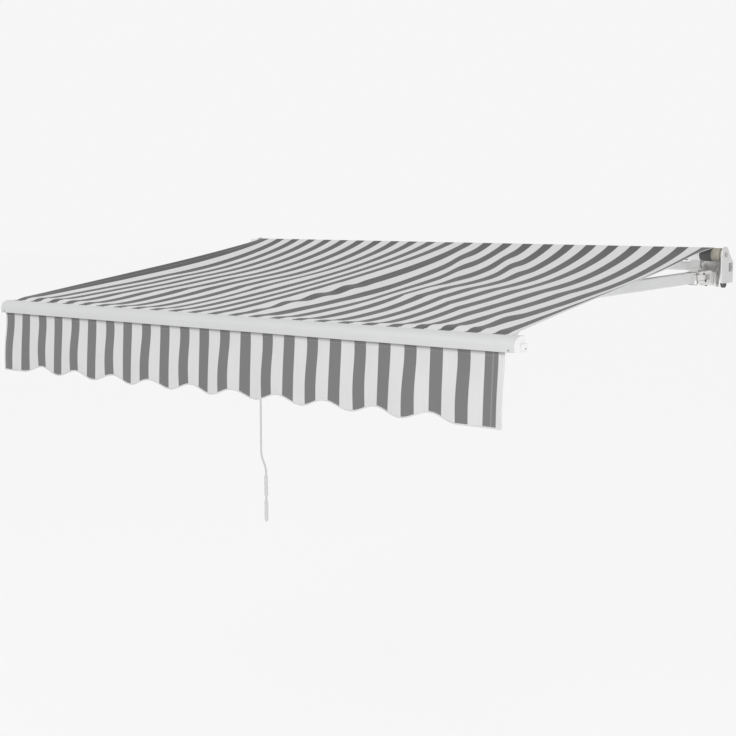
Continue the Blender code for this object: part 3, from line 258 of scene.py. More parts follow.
def coatGroup():
    # sprayed or moulded surface: fine peel, faint clouds, rubbed edges and a little dust
    tree, given, result = newTree("coatFinish", "Shader", [
        ("Vector", "Vector", None), ("Base", "Color", grey(0.7)), ("Rubbed", "Color", grey(0.8)),
        ("Peel", "Float", 700.0), ("Clouds", "Float", 0.05), ("Edge", "Float", 0.0012), ("Gloss", "Float", 0.4),
    ], [("Color", "Color"), ("Height", "Float"), ("Roughness", "Float"), ("Normal", "Vector")])
    peel = noise(tree, given["Vector"], given["Peel"], 2.0)
    cloud = noise(tree, given["Vector"], 9.0, 4.0, 0.6)
    scuff = noise(tree, given["Vector"], 85.0, 3.0, 0.7)
    rounded = put(tree, "ShaderNodeBevel", {"samples": 4}, {"Radius": given["Edge"]}).outputs[0]
    flat = put(tree, "ShaderNodeNewGeometry").outputs["True Normal"]
    facing = put(tree, "ShaderNodeVectorMath", {"operation": "DOT_PRODUCT"}, {0: rounded, 1: flat}).outputs["Value"]
    edge = sums(tree, "MULTIPLY", sums(tree, "SUBTRACT", 0.985, facing), 5.0, clamp=True)
    worn = sums(tree, "MULTIPLY", edge, sums(tree, "MULTIPLY_ADD", scuff, 1.6, -0.35, clamp=True), clamp=True)
    dulled = put(tree, "ShaderNodeVectorMath", {"operation": "SCALE"}, {
        0: given["Base"],
        "Scale": sums(tree, "SUBTRACT", 1.0, times(tree, sums(tree, "SUBTRACT", 1.0, cloud), given["Clouds"])),
    }).outputs[0]
    return give(tree, result, {
        "Color": mixColour(tree, worn, dulled, given["Rubbed"]),
        "Height": sums(tree, "MULTIPLY_ADD", peel, 0.7, times(tree, scuff, 0.3)),
        "Roughness": sums(tree, "ADD", given["Gloss"], times(tree, sums(tree, "SUBTRACT", cloud, 0.5), 0.22)),
        "Normal": rounded,
    })


def bareMetalGroup():
    # plated or cast metal: spangle, fine drawn lines and dull patches
    tree, given, result = newTree("bareMetal", "Shader", [
        ("Vector", "Vector", None), ("Bright", "Color", grey(0.6)), ("Dull", "Color", grey(0.3)),
        ("Spangle", "Float", 160.0), ("Gloss", "Float", 0.35),
    ], [("Color", "Color"), ("Height", "Float"), ("Roughness", "Float")])
    cells = put(tree, "ShaderNodeTexVoronoi", None, {"Vector": given["Vector"], "Scale": given["Spangle"]}).outputs
    crystal = outOf(tree, "ShaderNodeSeparateXYZ", {0: cells["Color"]})
    stain = noise(tree, given["Vector"], 45.0, 4.0, 0.65)
    scratch = noise(tree, put(tree, "ShaderNodeVectorMath", {"operation": "MULTIPLY"},
                    {0: given["Vector"], 1: (40.0, 900.0, 900.0)}).outputs[0], 1.0, 2.0)
    shade = sums(tree, "MULTIPLY_ADD", crystal, 0.35, times(tree, stain, 0.65))
    return give(tree, result, {
        "Color": mixColour(tree, shade, given["Dull"], given["Bright"]),
        "Height": sums(tree, "ADD", scratch, times(tree, stain, 0.5)),
        "Roughness": sums(tree, "MULTIPLY_ADD", stain, 0.25, sums(tree, "SUBTRACT", given["Gloss"], 0.12)),
    })


clothWeave, coatFinish, bareMetal = clothWeaveGroup(), coatGroup(), bareMetalGroup()
print("awning: shader groups built")


# Finishes

def newMaterial(name):
    material = bpy.data.materials.new(name)
    material.use_nodes = True
    tree = material.node_tree
    return material, tree, tree.nodes["Principled BSDF"]


def plugIn(tree, shader, colour, finish, bump):
    # joins a finish to the shader; bump holds what the bump node gets besides the finish's height
    raised = outOf(tree, "ShaderNodeBump", {**bump, "Height": finish["Height"]})
    give(tree, shader.inputs, {"Base Color": colour, "Roughness": finish["Roughness"], "Normal": raised})


def coatMaterial(name, base, rubbed, gloss, peel=700.0, bump=0.05, clouds=0.05, edge=0.0012):
    material, tree, shader = newMaterial(name)
    spot = put(tree, "ShaderNodeTexCoord").outputs["Object"]
    finish = put(tree, "ShaderNodeGroup", {"node_tree": coatFinish}, {
        "Vector": spot, "Base": base, "Rubbed": rubbed, "Peel": peel, "Clouds": clouds, "Edge": edge, "Gloss": gloss,
    }).outputs
    plugIn(tree, shader, finish["Color"], finish, {"Strength": bump, "Distance": 0.0004, "Normal": finish["Normal"]})
    return material


def metalMaterial(name, bright, dull, gloss, spangle=160.0):
    material, tree, shader = newMaterial(name)
    spot = put(tree, "ShaderNodeTexCoord").outputs["Object"]
    finish = put(tree, "ShaderNodeGroup", {"node_tree": bareMetal}, {
        "Vector": spot, "Bright": bright, "Dull": dull, "Spangle": spangle, "Gloss": gloss}).outputs
    plugIn(tree, shader, finish["Color"], finish, {"Strength": 0.12, "Distance": 0.0003})
    shader.inputs["Metallic"].default_value = 1.0
    return material


def clothMaterial(name, dark, pale, linesAndPaintedShade=(), binding=0.0):
    # marks are (which part of the flat place, where, half width, share lighter; below zero, share darker), such as
    # stitched lines; a darker mark is painted shade, as in the valance's painted shadow under the front bar
    material, tree, shader = newMaterial(name)
    spot = put(tree, "ShaderNodeUVMap", {"uv_map": "clothMap"}).outputs[0]
    finish = put(tree, "ShaderNodeGroup", {"node_tree": clothWeave}, {
        "Vector": spot, "Dark": dark, "Pale": pale, "Pitch": stripes["pitch"], "Dark Share": darkShare,
        "Start": clothLeft, "Threads": stripes["threads"], "Streaks": stripes["streaks"],
    }).outputs
    colour = finish["Color"]
    parts = put(tree, "ShaderNodeSeparateXYZ", None, {0: spot}).outputs
    for part, where, halfWide, lighter in linesAndPaintedShade:
        away = sums(tree, "ABSOLUTE", sums(tree, "SUBTRACT", parts[part], where))
        line = times(tree, sums(tree, "SUBTRACT", 1.0, sums(tree, "DIVIDE", away, halfWide), clamp=True),
                    abs(lighter))
        # a mark below zero mixes towards near black: painted shade
        colour = mixColour(tree, line, colour, grey(0.75) if lighter > 0 else grey(0.05))
    if binding:
        toFoot = put(tree, "ShaderNodeAttribute", {"attribute_name": "toFoot"}).outputs["Fac"]
        tape = sums(tree, "MULTIPLY", sums(tree, "SUBTRACT", binding, toFoot), 2000.0, clamp=True)
        colour = mixColour(tree, tape, colour, grey(0.80))
    plugIn(tree, shader, colour, finish, {"Strength": 0.25, "Distance": 0.0005})
    shader.inputs["Specular IOR Level"].default_value = 0.25
    shader.inputs["Sheen Weight"].default_value = 0.20
    shader.inputs["Sheen Roughness"].default_value = 0.5
    return material


clothLeft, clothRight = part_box("canopy_piping")[0].x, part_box("canopy_piping")[1].x
stripePairs, darkShare = 24, 0.4755
stripes = {"pitch": (clothRight - clothLeft) / (stripePairs - 1 + darkShare), "threads": 620.0, "streaks": 0.14}

# The canopy, the roll and the valance are one fabric. Their dark stripes differ by painted light: the valance's dark
# (0.220) is painted lighter than the canopy's (0.108), a painted sheen on the front-lit valance and painted shade on
# the canopy's top.
canopyCloth = clothMaterial("canopyCloth", grey(0.108), grey(0.86), [(0, clothLeft + 0.024, 0.002, 0.25)])
rollCloth = clothMaterial("rollCloth", grey(0.11), grey(0.78))
valanceCloth = clothMaterial("valanceCloth", grey(0.220), grey(0.80), [
    # a light line along the hem's top fold: partly its stitching, partly a painted highlight where the fold catches the
    # light
    (1, 0.0140, 0.0045, 0.16),
    # painted shadow: a dark band across the top of the valance, where the front bar and its piping pocket cast shade
    (1, 0.008, 0.014, -0.62),
    (0, clothRight - 0.022, 0.0040, 0.22),
], 0.006)
finishes = {
    "steel_coat": coatMaterial("steelCoat", grey(0.68, 0.005), grey(0.60), 0.42, 900.0, 0.10, 0.06),
    "cast_coat": coatMaterial("castCoat", grey(0.70, 0.01), grey(0.80), 0.48, 420.0, 0.35, 0.16, 0.0018),
    "profile_coat": coatMaterial("profileCoat", grey(0.70, -0.004), grey(0.72), 0.50, 1100.0, 0.06, 0.05, 0.0010),
    "zinc_steel": metalMaterial("zincSteel", grey(0.62, 0.01), grey(0.34, 0.02), 0.36, 420.0),
    "galvanised_tube": metalMaterial("galvanisedTube", grey(0.60), grey(0.38), 0.42, 120.0),
    "dark_plastic": coatMaterial("darkPlastic", grey(0.30), grey(0.36), 0.52, 500.0, 0.25, 0.20),
    "white_plastic": coatMaterial("whitePlastic", grey(0.88, 0.004), grey(0.80), 0.46, 600.0, 0.12, 0.07),
    "beige_plastic": coatMaterial(
        "beigePlastic", (0.46, 0.43, 0.36, 1), (0.58, 0.55, 0.48, 1), 0.55, 380.0, 0.25, 0.55),
    "gear_bronze": metalMaterial("gearBronze", (0.62, 0.42, 0.20, 1), (0.32, 0.20, 0.09, 1), 0.40, 300.0),
    "white_piping": coatMaterial("whitePiping", grey(0.70), grey(0.74), 0.70, 1500.0, 0.30, 0.10),
}
rodCoat = coatMaterial("rodCoat", grey(0.80), grey(0.70), 0.45, 900.0, 0.10, 0.08)
# dark rubber for the clamp knobs; the same dark finish on the rings at the arms' ends paints the shade of the joint
# gaps
darkRubberAndGapShade = coatMaterial("darkRubberAndGapShade", grey(0.10), grey(0.16), 0.70, 900.0, 0.20, 0.25)
darkBolt = metalMaterial("darkBolt", grey(0.20), grey(0.05), 0.45, 500.0)
stitchThread = coatMaterial("stitchThread", grey(0.66), grey(0.74), 0.75, 2400.0, 0.40, 0.20, 0.0001)
screwSteel = metalMaterial("screwSteel", grey(0.50), grey(0.22), 0.34, 500.0)

for row in frame["record"]["subparts"]:
    solid = nodes[row["node"]]
    solid.data.materials.clear()
    slotName = "white_plastic" if "grip" in row["node"] else row["material_slot"]
    solid.data.materials.append(rodCoat if row["node"] == "crank_rod" else finishes.get(slotName, canopyCloth))
print("awning: finishes on", len(nodes), "solids")


# Canopy: one sheet from the back of the roll, over its top and out into the front bar's groove

canopyShape = {
    "thick": 0.0012,
    "lap": 0.10,  # run that stays with the roller when the arms tilt
    "across": 260,
    "along": 90,
    "groovePlunge": 0.0045,
    "bunching": 1.2,  # above 1, rows lie closer together near the roll
    "wrapFrom": -100,  # angle at the back of the roll where the sheet begins
    "wrapRows": 14,
    "dipTurn": 3.4,  # turn round the roll for each metre of depth
    "whiteEdge": 0.026,  # cloth beyond the last dark stripe
    "whiteTaper": 0.30,  # share of the run over which that edge grows to its width
    "armRoom": 0.0035,  # least distance to the arms through the whole fold
}
# the room that the arms sweep under the cloth
armSweep = {
    "halfTall": 0.0278, "elbowMore": 0.0045, "elbowShare": 0.505, "elbowWide": 0.06, "reach": 0.914,
    "leastShare": 0.62, "moreShare": 0.05, "freeMiddle": 0.42, "smoothing": 160,
}
# place across and how deep the cloth hangs there: taut at both hems, a ridge left of the middle
sagAcross = (
    (-1.4405, 0.010), (-1.380, 0.035), (-1.260, 0.055), (-1.000, 0.056), (-0.500, 0.057), (-0.410, 0.051),
    (-0.290, 0.043), (-0.170, 0.035), (-0.050, 0.027), (0.070, 0.047), (0.190, 0.060), (0.310, 0.062),
    (0.430, 0.070), (0.600, 0.074), (0.800, 0.070), (0.920, 0.066), (1.040, 0.063), (1.160, 0.059),
    (1.280, 0.047), (1.345, 0.028), (1.400, 0.006), (1.430, -0.003),
)
# share of the run from the roller and share of the depth there
sagAlong = (
    (0.00, 0.00), (0.03, 0.22), (0.09, 0.51), (0.15, 0.70), (0.21, 0.84), (0.27, 0.92), (0.33, 0.98), (0.42, 1.00),
    (0.51, 0.965), (0.58, 0.91), (0.64, 0.86), (0.70, 0.77), (0.76, 0.68), (0.82, 0.56), (0.88, 0.44), (0.94, 0.27),
    (1.00, 0.00),
)
# place across at its peak, drift across per metre of run, half width, rise, share of the run at its peak, its length
creases = (
    (0.185, 0.55, 0.060, 0.008, 0.15, 0.09),
    (0.440, 0.60, 0.065, 0.008, 0.14, 0.08),
    (0.560, 0.60, 0.070, 0.010, 0.22, 0.08),
    (0.320, 0.50, 0.060, 0.007, 0.29, 0.12),
    (0.080, 0.10, 0.045, 0.010, 0.84, 0.12),
    (0.200, 0.20, 0.060, -0.006, 0.55, 0.20),
    (-0.420, 0.05, 0.060, 0.006, 0.50, 0.30),
    (-0.800, 0.05, 0.060, -0.004, 0.60, 0.30),
    (1.230, 0.30, 0.050, 0.010, 0.86, 0.08),
    (1.110, 0.35, 0.045, -0.006, 0.84, 0.08),
    (0.930, 0.10, 0.060, 0.005, 0.40, 0.25),
    (1.425, 0.00, 0.080, 0.007, 0.11, 0.12),
)

# a row of small folds along the ridge: place across, half width, height, length of one, first and last share
flutter = {"place": 0.030, "wide": 0.055, "high": 0.0050, "length": 0.215, "first": 0.45, "last": 0.95}

clothFarRight = clothRight + canopyShape["whiteEdge"]
rollLow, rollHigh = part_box("wound_cloth")
rollMiddle = (rollLow + rollHigh) / 2
rollRadius = (rollHigh.z - rollLow.z) / 2
wrapRadius = rollRadius + 0.0003 + canopyShape["thick"] / 2
barLow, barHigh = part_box("front_bar")
grooveY = sum(corner.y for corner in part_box("canopy_piping")) / 2
runEnd = Vector((0, barHigh.y + 0.002, barHigh.z + 0.0003 + canopyShape["thick"] / 2))


def smoothThrough(points, x):
    # a curve without corners through the points, held level beyond both ends
    x = min(max(x, points[0][0]), points[-1][0])
    i = next(k for k in range(len(points) - 1) if x <= points[k + 1][0])

    def slopeAt(k):
        if k in (0, len(points) - 1):
            return 0.0
        before, here, after = points[k - 1], points[k], points[k + 1]
        steps = [(here[1] - before[1]) / (here[0] - before[0]), (after[1] - here[1]) / (after[0] - here[0])]
        return 0.0 if steps[0] * steps[1] <= 0 else 2 * steps[0] * steps[1] / (steps[0] + steps[1])

    (x0, y0), (x1, y1) = points[i], points[i + 1]
    u, wide = (x - x0) / (x1 - x0), x1 - x0
    slopes = [slopeAt(i), slopeAt(i + 1)]
    if i == 0:
        slopes[0] = 1.5 * (y1 - y0) / wide - slopes[1] / 2
    return (y0 * (1 + 2 * u) * (1 - u) ** 2 + y1 * u * u * (3 - 2 * u)
            + wide * (slopes[0] * u * (1 - u) ** 2 - slopes[1] * u * u * (1 - u)))


def startAngle(x):
    # where the cloth leaves the roll: the deeper it hangs, the further round
    out, down = rollMiddle.y - runEnd.y, rollMiddle.z - runEnd.z
    dip = canopyShape["dipTurn"] * max(0.0, smoothThrough(sagAcross, x))
    return math.atan2(down, out) + math.asin(wrapRadius / math.hypot(out, down)) + dip


def onRoll(x, angle, radius=wrapRadius):
    return Vector((x, rollMiddle.y - radius * math.sin(angle), rollMiddle.z + radius * math.cos(angle)))


runStart = onRoll(0, startAngle(0))
flatRun = (runEnd - runStart).length
joints = {row["name"]: row for row in frame["joints"]}
shoulder, elbow, wrist = (Vector(joints[name]["pos_m"]) for name in ("awning_fold", "right_elbow", "right_wrist"))
clothColumns = [clothLeft + (clothFarRight - clothLeft) * i / canopyShape["across"]
                for i in range(canopyShape["across"] + 1)]
clothShares = [(i / canopyShape["along"]) ** canopyShape["bunching"] for i in range(canopyShape["along"] + 1)]


def hangingDepth():
    # depth below the straight line from roller to bar, lifted smoothly out of the room that the arms sweep
    across, along = np.array(clothColumns), np.array(clothShares)
    deep = np.outer([smoothThrough(sagAlong, t) for t in along], [smoothThrough(sagAcross, x) for x in across])
    for place, drift, wide, rise, peak, length in creases:
        t, x = np.meshgrid(along, across, indexing="ij")
        away = (x - place - drift * (t - peak) * flatRun) / wide
        ends = np.minimum(1, np.minimum(t, 1 - t) / 0.06)
        deep -= ends * rise * np.exp(-(away**2) - ((t - peak) / length) ** 2)
    window = np.clip(np.minimum(along - flutter["first"], flutter["last"] - along) / 0.1, 0, 1)
    beats = np.sin(2 * math.pi * along * flatRun / flutter["length"])
    deep += flutter["high"] * np.outer(window * beats, np.exp(-(((across - flutter["place"]) / flutter["wide"]) ** 2)))
    run = runStart.y - runEnd.y
    line = runStart.z + (runEnd.z - runStart.z) * along
    slope = (wrist.z - shoulder.z) / (shoulder.y - wrist.y)
    elbowHere = np.exp(-(((along - armSweep["elbowShare"]) / armSweep["elbowWide"]) ** 2))
    armHalf = armSweep["halfTall"] + armSweep["elbowMore"] * elbowHere
    armTop = shoulder.z + slope * (shoulder.y - (runStart.y - run * along)) + armHalf
    room = np.repeat((line - armTop - canopyShape["armRoom"])[:, None], len(across), axis=1)
    wristShare = (runStart.y - wrist.y) / run
    reach = np.clip((shoulder.x - np.abs(across)) / armSweep["reach"], 0, None)
    lastShare = np.maximum(armSweep["leastShare"], wristShare - reach * wristShare / 2 + armSweep["moreShare"])
    free = (np.abs(across)[None, :] < armSweep["freeMiddle"]) | (along[:, None] > lastShare[None, :])
    lift = np.where(free, 0.0, np.maximum(0.0, deep - room))
    soft = lift.copy()
    for _ in range(armSweep["smoothing"]):
        padded = np.pad(soft, 1, mode="edge")
        soft = np.maximum(lift, sum(padded[i:i + soft.shape[0], j:j + soft.shape[1]]
                                    for i in range(3) for j in range(3)) / 9)
    return deep - soft * np.minimum(1, np.minimum(along, 1 - along) / 0.02)[:, None]


clothDepth = hangingDepth()


def overRun(x, t):
    # the cloth's place at x, a share t of the way from roller to bar
    start = onRoll(x, startAngle(x))
    column = (x - clothLeft) / (clothFarRight - clothLeft) * canopyShape["across"]
    row = canopyShape["along"] * t ** (1 / canopyShape["bunching"])
    c, r = min(max(int(column), 0), canopyShape["across"] - 1), min(int(row), canopyShape["along"] - 1)
    u, v = column - c, row - r
    depth = ((1 - v) * ((1 - u) * clothDepth[r][c] + u * clothDepth[r][c + 1])
             + v * ((1 - u) * clothDepth[r + 1][c] + u * clothDepth[r + 1][c + 1]))
    point = start.lerp(runEnd, t)
    if x > clothRight:
        x = clothRight + (x - clothRight) * min(1.0, t / canopyShape["whiteTaper"])
    return Vector((x, point.y, point.z - depth))


def canopyRows():
    # (flat distance, function of x that gives the point) from the back of the roll to the piping
    rows = []
    wrapFrom, wrapTo = math.radians(canopyShape["wrapFrom"]), startAngle(0)
    for i in range(canopyShape["wrapRows"]):
        share = i / canopyShape["wrapRows"]
        offset = (1 - share) * (wrapFrom - wrapTo) * wrapRadius
        rows.append((offset, lambda x, share=share: onRoll(
            min(x, clothRight), wrapFrom + (startAngle(x) - wrapFrom) * share)))
    for t in clothShares:
        rows.append((t * flatRun, lambda x, t=t: overRun(x, t)))
    return rows


def barRows():
    # from the bar's back edge over its top and down to the piping
    places = ((runEnd.y - grooveY, 0.0), (0.010, 0.0), (0.0025, 0.0001), (0.0012, 0.0008), (0.0003, 0.0022),
              (0.0, canopyShape["groovePlunge"]))
    return [(flatRun + runEnd.y - grooveY - away + drop, lambda x, away=away, drop=drop: Vector(
        (x, grooveY + away, runEnd.z - drop))) for away, drop in places]


def clothStrip(name, rows):
    # one piece of the canopy; columns that would meet at the roll are kept a hair apart
    wide, hair = len(clothColumns), 0.00002
    points = [place(x) for _, place in rows for x in clothColumns]
    for i in range(1, len(points)):
        if i % wide and points[i].x - points[i - 1].x < hair:
            points[i].x = points[i - 1].x + hair
    obj = meshObject(name, points, gridFaces(len(rows), wide), canopyCloth)
    setMap(obj, [(points[r * wide + c].x, row[0]) for r, row in enumerate(rows) for c in range(wide)])
    thickened(obj, canopyShape["thick"]).data.set_sharp_from_angle(angle=math.radians(40))
    return obj


allRows = canopyRows()
lapAt = next(i for i, row in enumerate(allRows) if row[0] >= canopyShape["lap"])
canopyLap = clothStrip("canopyLap", allRows[:lapAt + 1])
canopyRun = clothStrip("canopyRun", allRows[lapAt:])
canopyEnd = clothStrip("canopyEnd", barRows())
lapEnd = allRows[lapAt][1](0.0)
lapShare = allRows[lapAt][0] / flatRun
print("awning: canopy sheet laid, flat run", round(flatRun, 3))


# Wound cloth: the turns left on the roller, laid as a spiral

turnsLeft = {"turns": 2.4, "thick": 0.0007, "steps": 30, "across": 48}


def woundTurns():
    tubeLow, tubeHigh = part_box("roller_tube")
    inner = (tubeHigh.z - tubeLow.z) / 2 + 0.0006
    outer = rollRadius - turnsLeft["thick"] / 2
    count = int(turnsLeft["turns"] * turnsLeft["steps"])
    across = turnsLeft["across"]
    points, flats = [], []
    for i in range(count + 1):
        share = i / count
        angle = startAngle(0) + 2 * math.pi * turnsLeft["turns"] * (share - 1)
        radius = inner + (outer - inner) * share
        for c in range(across + 1):
            x = rollLow.x + (clothRight - rollLow.x) * c / across
            points.append(onRoll(x, angle, radius))
            flats.append((x, angle * radius))
    obj = meshObject("woundTurns", points, gridFaces(count + 1, across + 1), rollCloth)
    setMap(obj, flats)
    return thickened(obj, turnsLeft["thick"])


woundCloth = woundTurns()


# Valance: a geometry tree hangs the striped sheet with its scalloped foot

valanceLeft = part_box("valance")[0].x
hangLow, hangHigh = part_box("valance_piping")
valanceShape = {
    "Width": clothFarRight - valanceLeft, "Middle": (clothFarRight + valanceLeft) / 2,
    "Top": (hangLow.z + hangHigh.z) / 2, "Back": (hangLow.y + hangHigh.y) / 2,
    "Drop": 0.287, "Lean": 0.014, "Scallop Period": 0.2529, "Scallop Depth": 0.031, "Scallop Middle": -0.032,
    "Ends": 1.2645, "Ripple": 0.0042, "Bulge": 0.0038, "Ripple Length": 0.47, "Columns": 380, "Rows": 30,
    "Thick": 0.0011,
}


def valanceTree():
    tree, given, result = growthTree("scallopedValance", [
        ("Width", "Float", 2.8), ("Middle", "Float", 0.0), ("Top", "Float", 0.0), ("Back", "Float", 0.0),
        ("Drop", "Float", 0.28), ("Lean", "Float", 0.02), ("Scallop Period", "Float", 0.25),
        ("Scallop Depth", "Float", 0.03), ("Scallop Middle", "Float", 0.0), ("Ends", "Float", 1.26),
        ("Ripple", "Float", 0.005), ("Bulge", "Float", 0.005), ("Ripple Length", "Float", 0.47),
        ("Columns", "Int", 300), ("Rows", "Int", 20), ("Cloth", "Material", None),
    ])
    grid = put(tree, "GeometryNodeMeshGrid", None, {
        "Size X": given["Width"], "Size Y": 1.0, "Vertices X": given["Columns"], "Vertices Y": given["Rows"]}).outputs
    spot = put(tree, "ShaderNodeSeparateXYZ", None, {0: put(tree, "GeometryNodeInputPosition").outputs[0]}).outputs
    x = sums(tree, "ADD", spot[0], given["Middle"])
    down = sums(tree, "SUBTRACT", 0.5, spot[1])
    along = sums(tree, "SUBTRACT", x, given["Scallop Middle"])
    turn, shift = 2 * math.pi, 4.5  # the half in the shift puts a scallop's lowest point at the middle
    period = sums(tree, "ADD", sums(tree, "DIVIDE", along, given["Scallop Period"]), shift)
    wave = sums(tree, "COSINE", times(tree, period, turn))
    rise = times(tree, sums(tree, "MULTIPLY_ADD", wave, 0.5, 0.5), given["Scallop Depth"])
    inner = sums(tree, "LESS_THAN", sums(tree, "ABSOLUTE", along), given["Ends"])
    rise = times(tree, rise, inner)
    length = sums(tree, "SUBTRACT", given["Drop"], rise)
    fallen = times(tree, length, down)
    # ripples that grow towards the foot, and a belly that differs across
    slow = sums(tree, "SINE", sums(tree, "MULTIPLY_ADD", sums(tree, "DIVIDE", x, given["Ripple Length"]), turn, 1.1))
    quick = sums(tree, "SINE", times(tree, sums(tree, "DIVIDE", x, given["Ripple Length"]), turn * 1.62))
    sway = sums(tree, "SINE", sums(tree, "MULTIPLY_ADD", x, 19.0, times(tree, down, 2.4)))
    ripple = sums(tree, "ADD", sums(tree, "ADD", slow, times(tree, quick, 0.6)), times(tree, sway, 0.35))
    out = times(tree, sums(tree, "MULTIPLY_ADD", ripple, given["Ripple"], given["Lean"]), down)
    belly = sums(tree, "SINE", times(tree, sums(tree, "POWER", down, 0.8), turn))
    uneven = sums(tree, "MULTIPLY_ADD", sums(tree, "SINE", sums(tree, "MULTIPLY_ADD", x, 26.0, 0.7)), 0.6, 0.7)
    out = sums(tree, "SUBTRACT", out, times(tree, times(tree, belly, uneven), given["Bulge"]))
    place = outOf(tree, "ShaderNodeCombineXYZ", {
        0: x, 1: sums(tree, "SUBTRACT", given["Back"], out), 2: sums(tree, "SUBTRACT", given["Top"], fallen),
    })
    flat = outOf(tree, "ShaderNodeCombineXYZ", {0: x, 1: fallen, 2: 0.0})
    mapped = put(tree, "GeometryNodeStoreNamedAttribute", {"data_type": "FLOAT2", "domain": "CORNER"}, {
        "Geometry": grid["Mesh"], "Name": "clothMap", "Value": flat}).outputs[0]
    hemmed = put(tree, "GeometryNodeStoreNamedAttribute", {"data_type": "FLOAT", "domain": "POINT"}, {
        "Geometry": mapped, "Name": "toFoot", "Value": sums(tree, "SUBTRACT", length, fallen)}).outputs[0]
    moved = outOf(tree, "GeometryNodeSetPosition", {"Geometry": hemmed, "Position": place})
    return dressed(tree, moved, given["Cloth"], result)


valance = grown("valanceSheet", valanceTree(), {**valanceShape, "Cloth": valanceCloth}, [(0, 0, 0)])
hungPoints = [v.co.copy() for v in valance.data.vertices]
hungColumns = [sorted(hungPoints[i:i + valanceShape["Rows"]], key=lambda p: -p.z)
               for i in range(0, len(hungPoints), valanceShape["Rows"])]
thickened(valance, valanceShape["Thick"])
print("awning: valance hung,", len(hungColumns), "columns")


# Stitches, screws and ribs, each grown by its own geometry tree

def pointsAlong(tree, given):
    # points at even steps along the edges that come in, each turned along its edge
    curve = outOf(tree, "GeometryNodeMeshToCurve", {"Mesh": given["Geometry"]})
    return put(tree, "GeometryNodeCurveToPoints", {"mode": "LENGTH"}, {"Curve": curve, "Length": given["Step"]}).outputs


def stitchTree():
    tree, given, result = growthTree("stitchRow", [
        ("Step", "Float", 0.006), ("Long", "Float", 0.0036), ("Wide", "Float", 0.0009), ("Thread", "Material", None)])
    spaced = pointsAlong(tree, given)
    bead = put(tree, "GeometryNodeMeshIcoSphere", None, {"Radius": 0.5, "Subdivisions": 1}).outputs["Mesh"]
    size = outOf(tree, "ShaderNodeCombineXYZ", {0: given["Wide"], 1: given["Wide"], 2: given["Long"]})
    laid = outOf(tree, "GeometryNodeInstanceOnPoints", {
        "Points": spaced["Points"], "Instance": bead, "Rotation": spaced["Rotation"], "Scale": size})
    return dressed(tree, laid, given["Thread"], result)


def screwTree():
    tree, given, result = growthTree("socketScrew", [
        ("Head", "Float", 0.005), ("Tall", "Float", 0.003), ("Socket", "Float", 0.0022), ("Steel", "Material", None)])
    crown = times(tree, given["Head"], 0.82)
    head = put(tree, "GeometryNodeMeshCone", None, {
        "Vertices": 16, "Radius Top": crown, "Radius Bottom": given["Head"], "Depth": given["Tall"]}).outputs["Mesh"]
    socket = put(tree, "GeometryNodeMeshCylinder", None, {
        "Vertices": 6, "Radius": given["Socket"], "Depth": given["Tall"]}).outputs["Mesh"]
    lift = outOf(tree, "ShaderNodeCombineXYZ", {2: given["Tall"]})
    raised = outOf(tree, "GeometryNodeTransform", {"Geometry": socket, "Translation": lift})
    hollow = put(tree, "GeometryNodeMeshBoolean", {"operation": "DIFFERENCE", "solver": "EXACT"}, {
        "Mesh 1": head, "Mesh 2": raised}).outputs["Mesh"]
    aim = put(tree, "GeometryNodeInputNamedAttribute", {"data_type": "FLOAT_VECTOR"}, {"Name": "aim"}).outputs[0]
    turned = put(tree, "FunctionNodeAlignRotationToVector", {"axis": "Z"}, {"Vector": aim}).outputs[0]
    laid = outOf(tree, "GeometryNodeInstanceOnPoints", {
        "Points": given["Geometry"], "Instance": hollow, "Rotation": turned})
    return dressed(tree, laid, given["Steel"], result, False)


def ribTree():
    tree, given, result = growthTree("gripRibs", [
        ("Step", "Float", 0.008), ("Round", "Float", 0.012), ("Thick", "Float", 0.0012), ("Plastic", "Material", None)])
    spaced = pointsAlong(tree, given)
    loop, section = (outOf(tree, "GeometryNodeCurvePrimitiveCircle", {
        "Resolution": count, "Radius": given[size]}) for count, size in ((20, "Round"), (6, "Thick")))
    ring = outOf(tree, "GeometryNodeCurveToMesh", {"Curve": loop, "Profile Curve": section})
    laid = outOf(tree, "GeometryNodeInstanceOnPoints", {
        "Points": spaced["Points"], "Instance": ring, "Rotation": spaced["Rotation"]})
    return dressed(tree, laid, given["Plastic"], result)


stitchRow, socketScrew, gripRibs = stitchTree(), screwTree(), ribTree()
stitchSize = {"Step": 0.0062, "Long": 0.0040, "Wide": 0.0010, "Thread": stitchThread}
# where rows are sewn: on the valance, then on the canopy's hems and beside its seams, given by their stripe pairs
stitchPlace = {
    "foot": 0.009, "top": 0.022, "ends": (0.008, 0.022), "lift": 0.0001, "steps": 90, "last": 0.995,
    "leftHem": (0.008, 0.024), "rightHem": (0.020, 0.006), "seams": (8, 16), "besideSeam": 0.010,
}


def polyline(lines):
    # several lines of points as one set of points and edges
    points, edges = [], []
    for line in lines:
        first = len(points)
        points += line
        edges += [(i, i + 1) for i in range(first, len(points) - 1)]
    return points, edges


def hemLines():
    # rows of stitches on the valance: under the bar, along the scalloped foot and up both ends
    face = Vector((0, -valanceShape["Thick"] / 2, 0))
    footLine, topLine = [], []
    for column in hungColumns:
        top, foot = column[0], column[-1]
        down = (foot - top).normalized()
        footLine.append(foot - down * stitchPlace["foot"] + face)
        topLine.append(top + down * stitchPlace["top"] + face)
    sides = []
    for inset in stitchPlace["ends"]:
        for edge in (0, len(hungColumns) - 1):
            way = 1 if edge == 0 else -1
            x = hungColumns[edge][0].x + way * inset
            near = min(hungColumns, key=lambda c: abs(c[0].x - x))
            sides.append([Vector((x, p.y, p.z)) + face for p in near[2:-1]])
    return [footLine, topLine] + sides


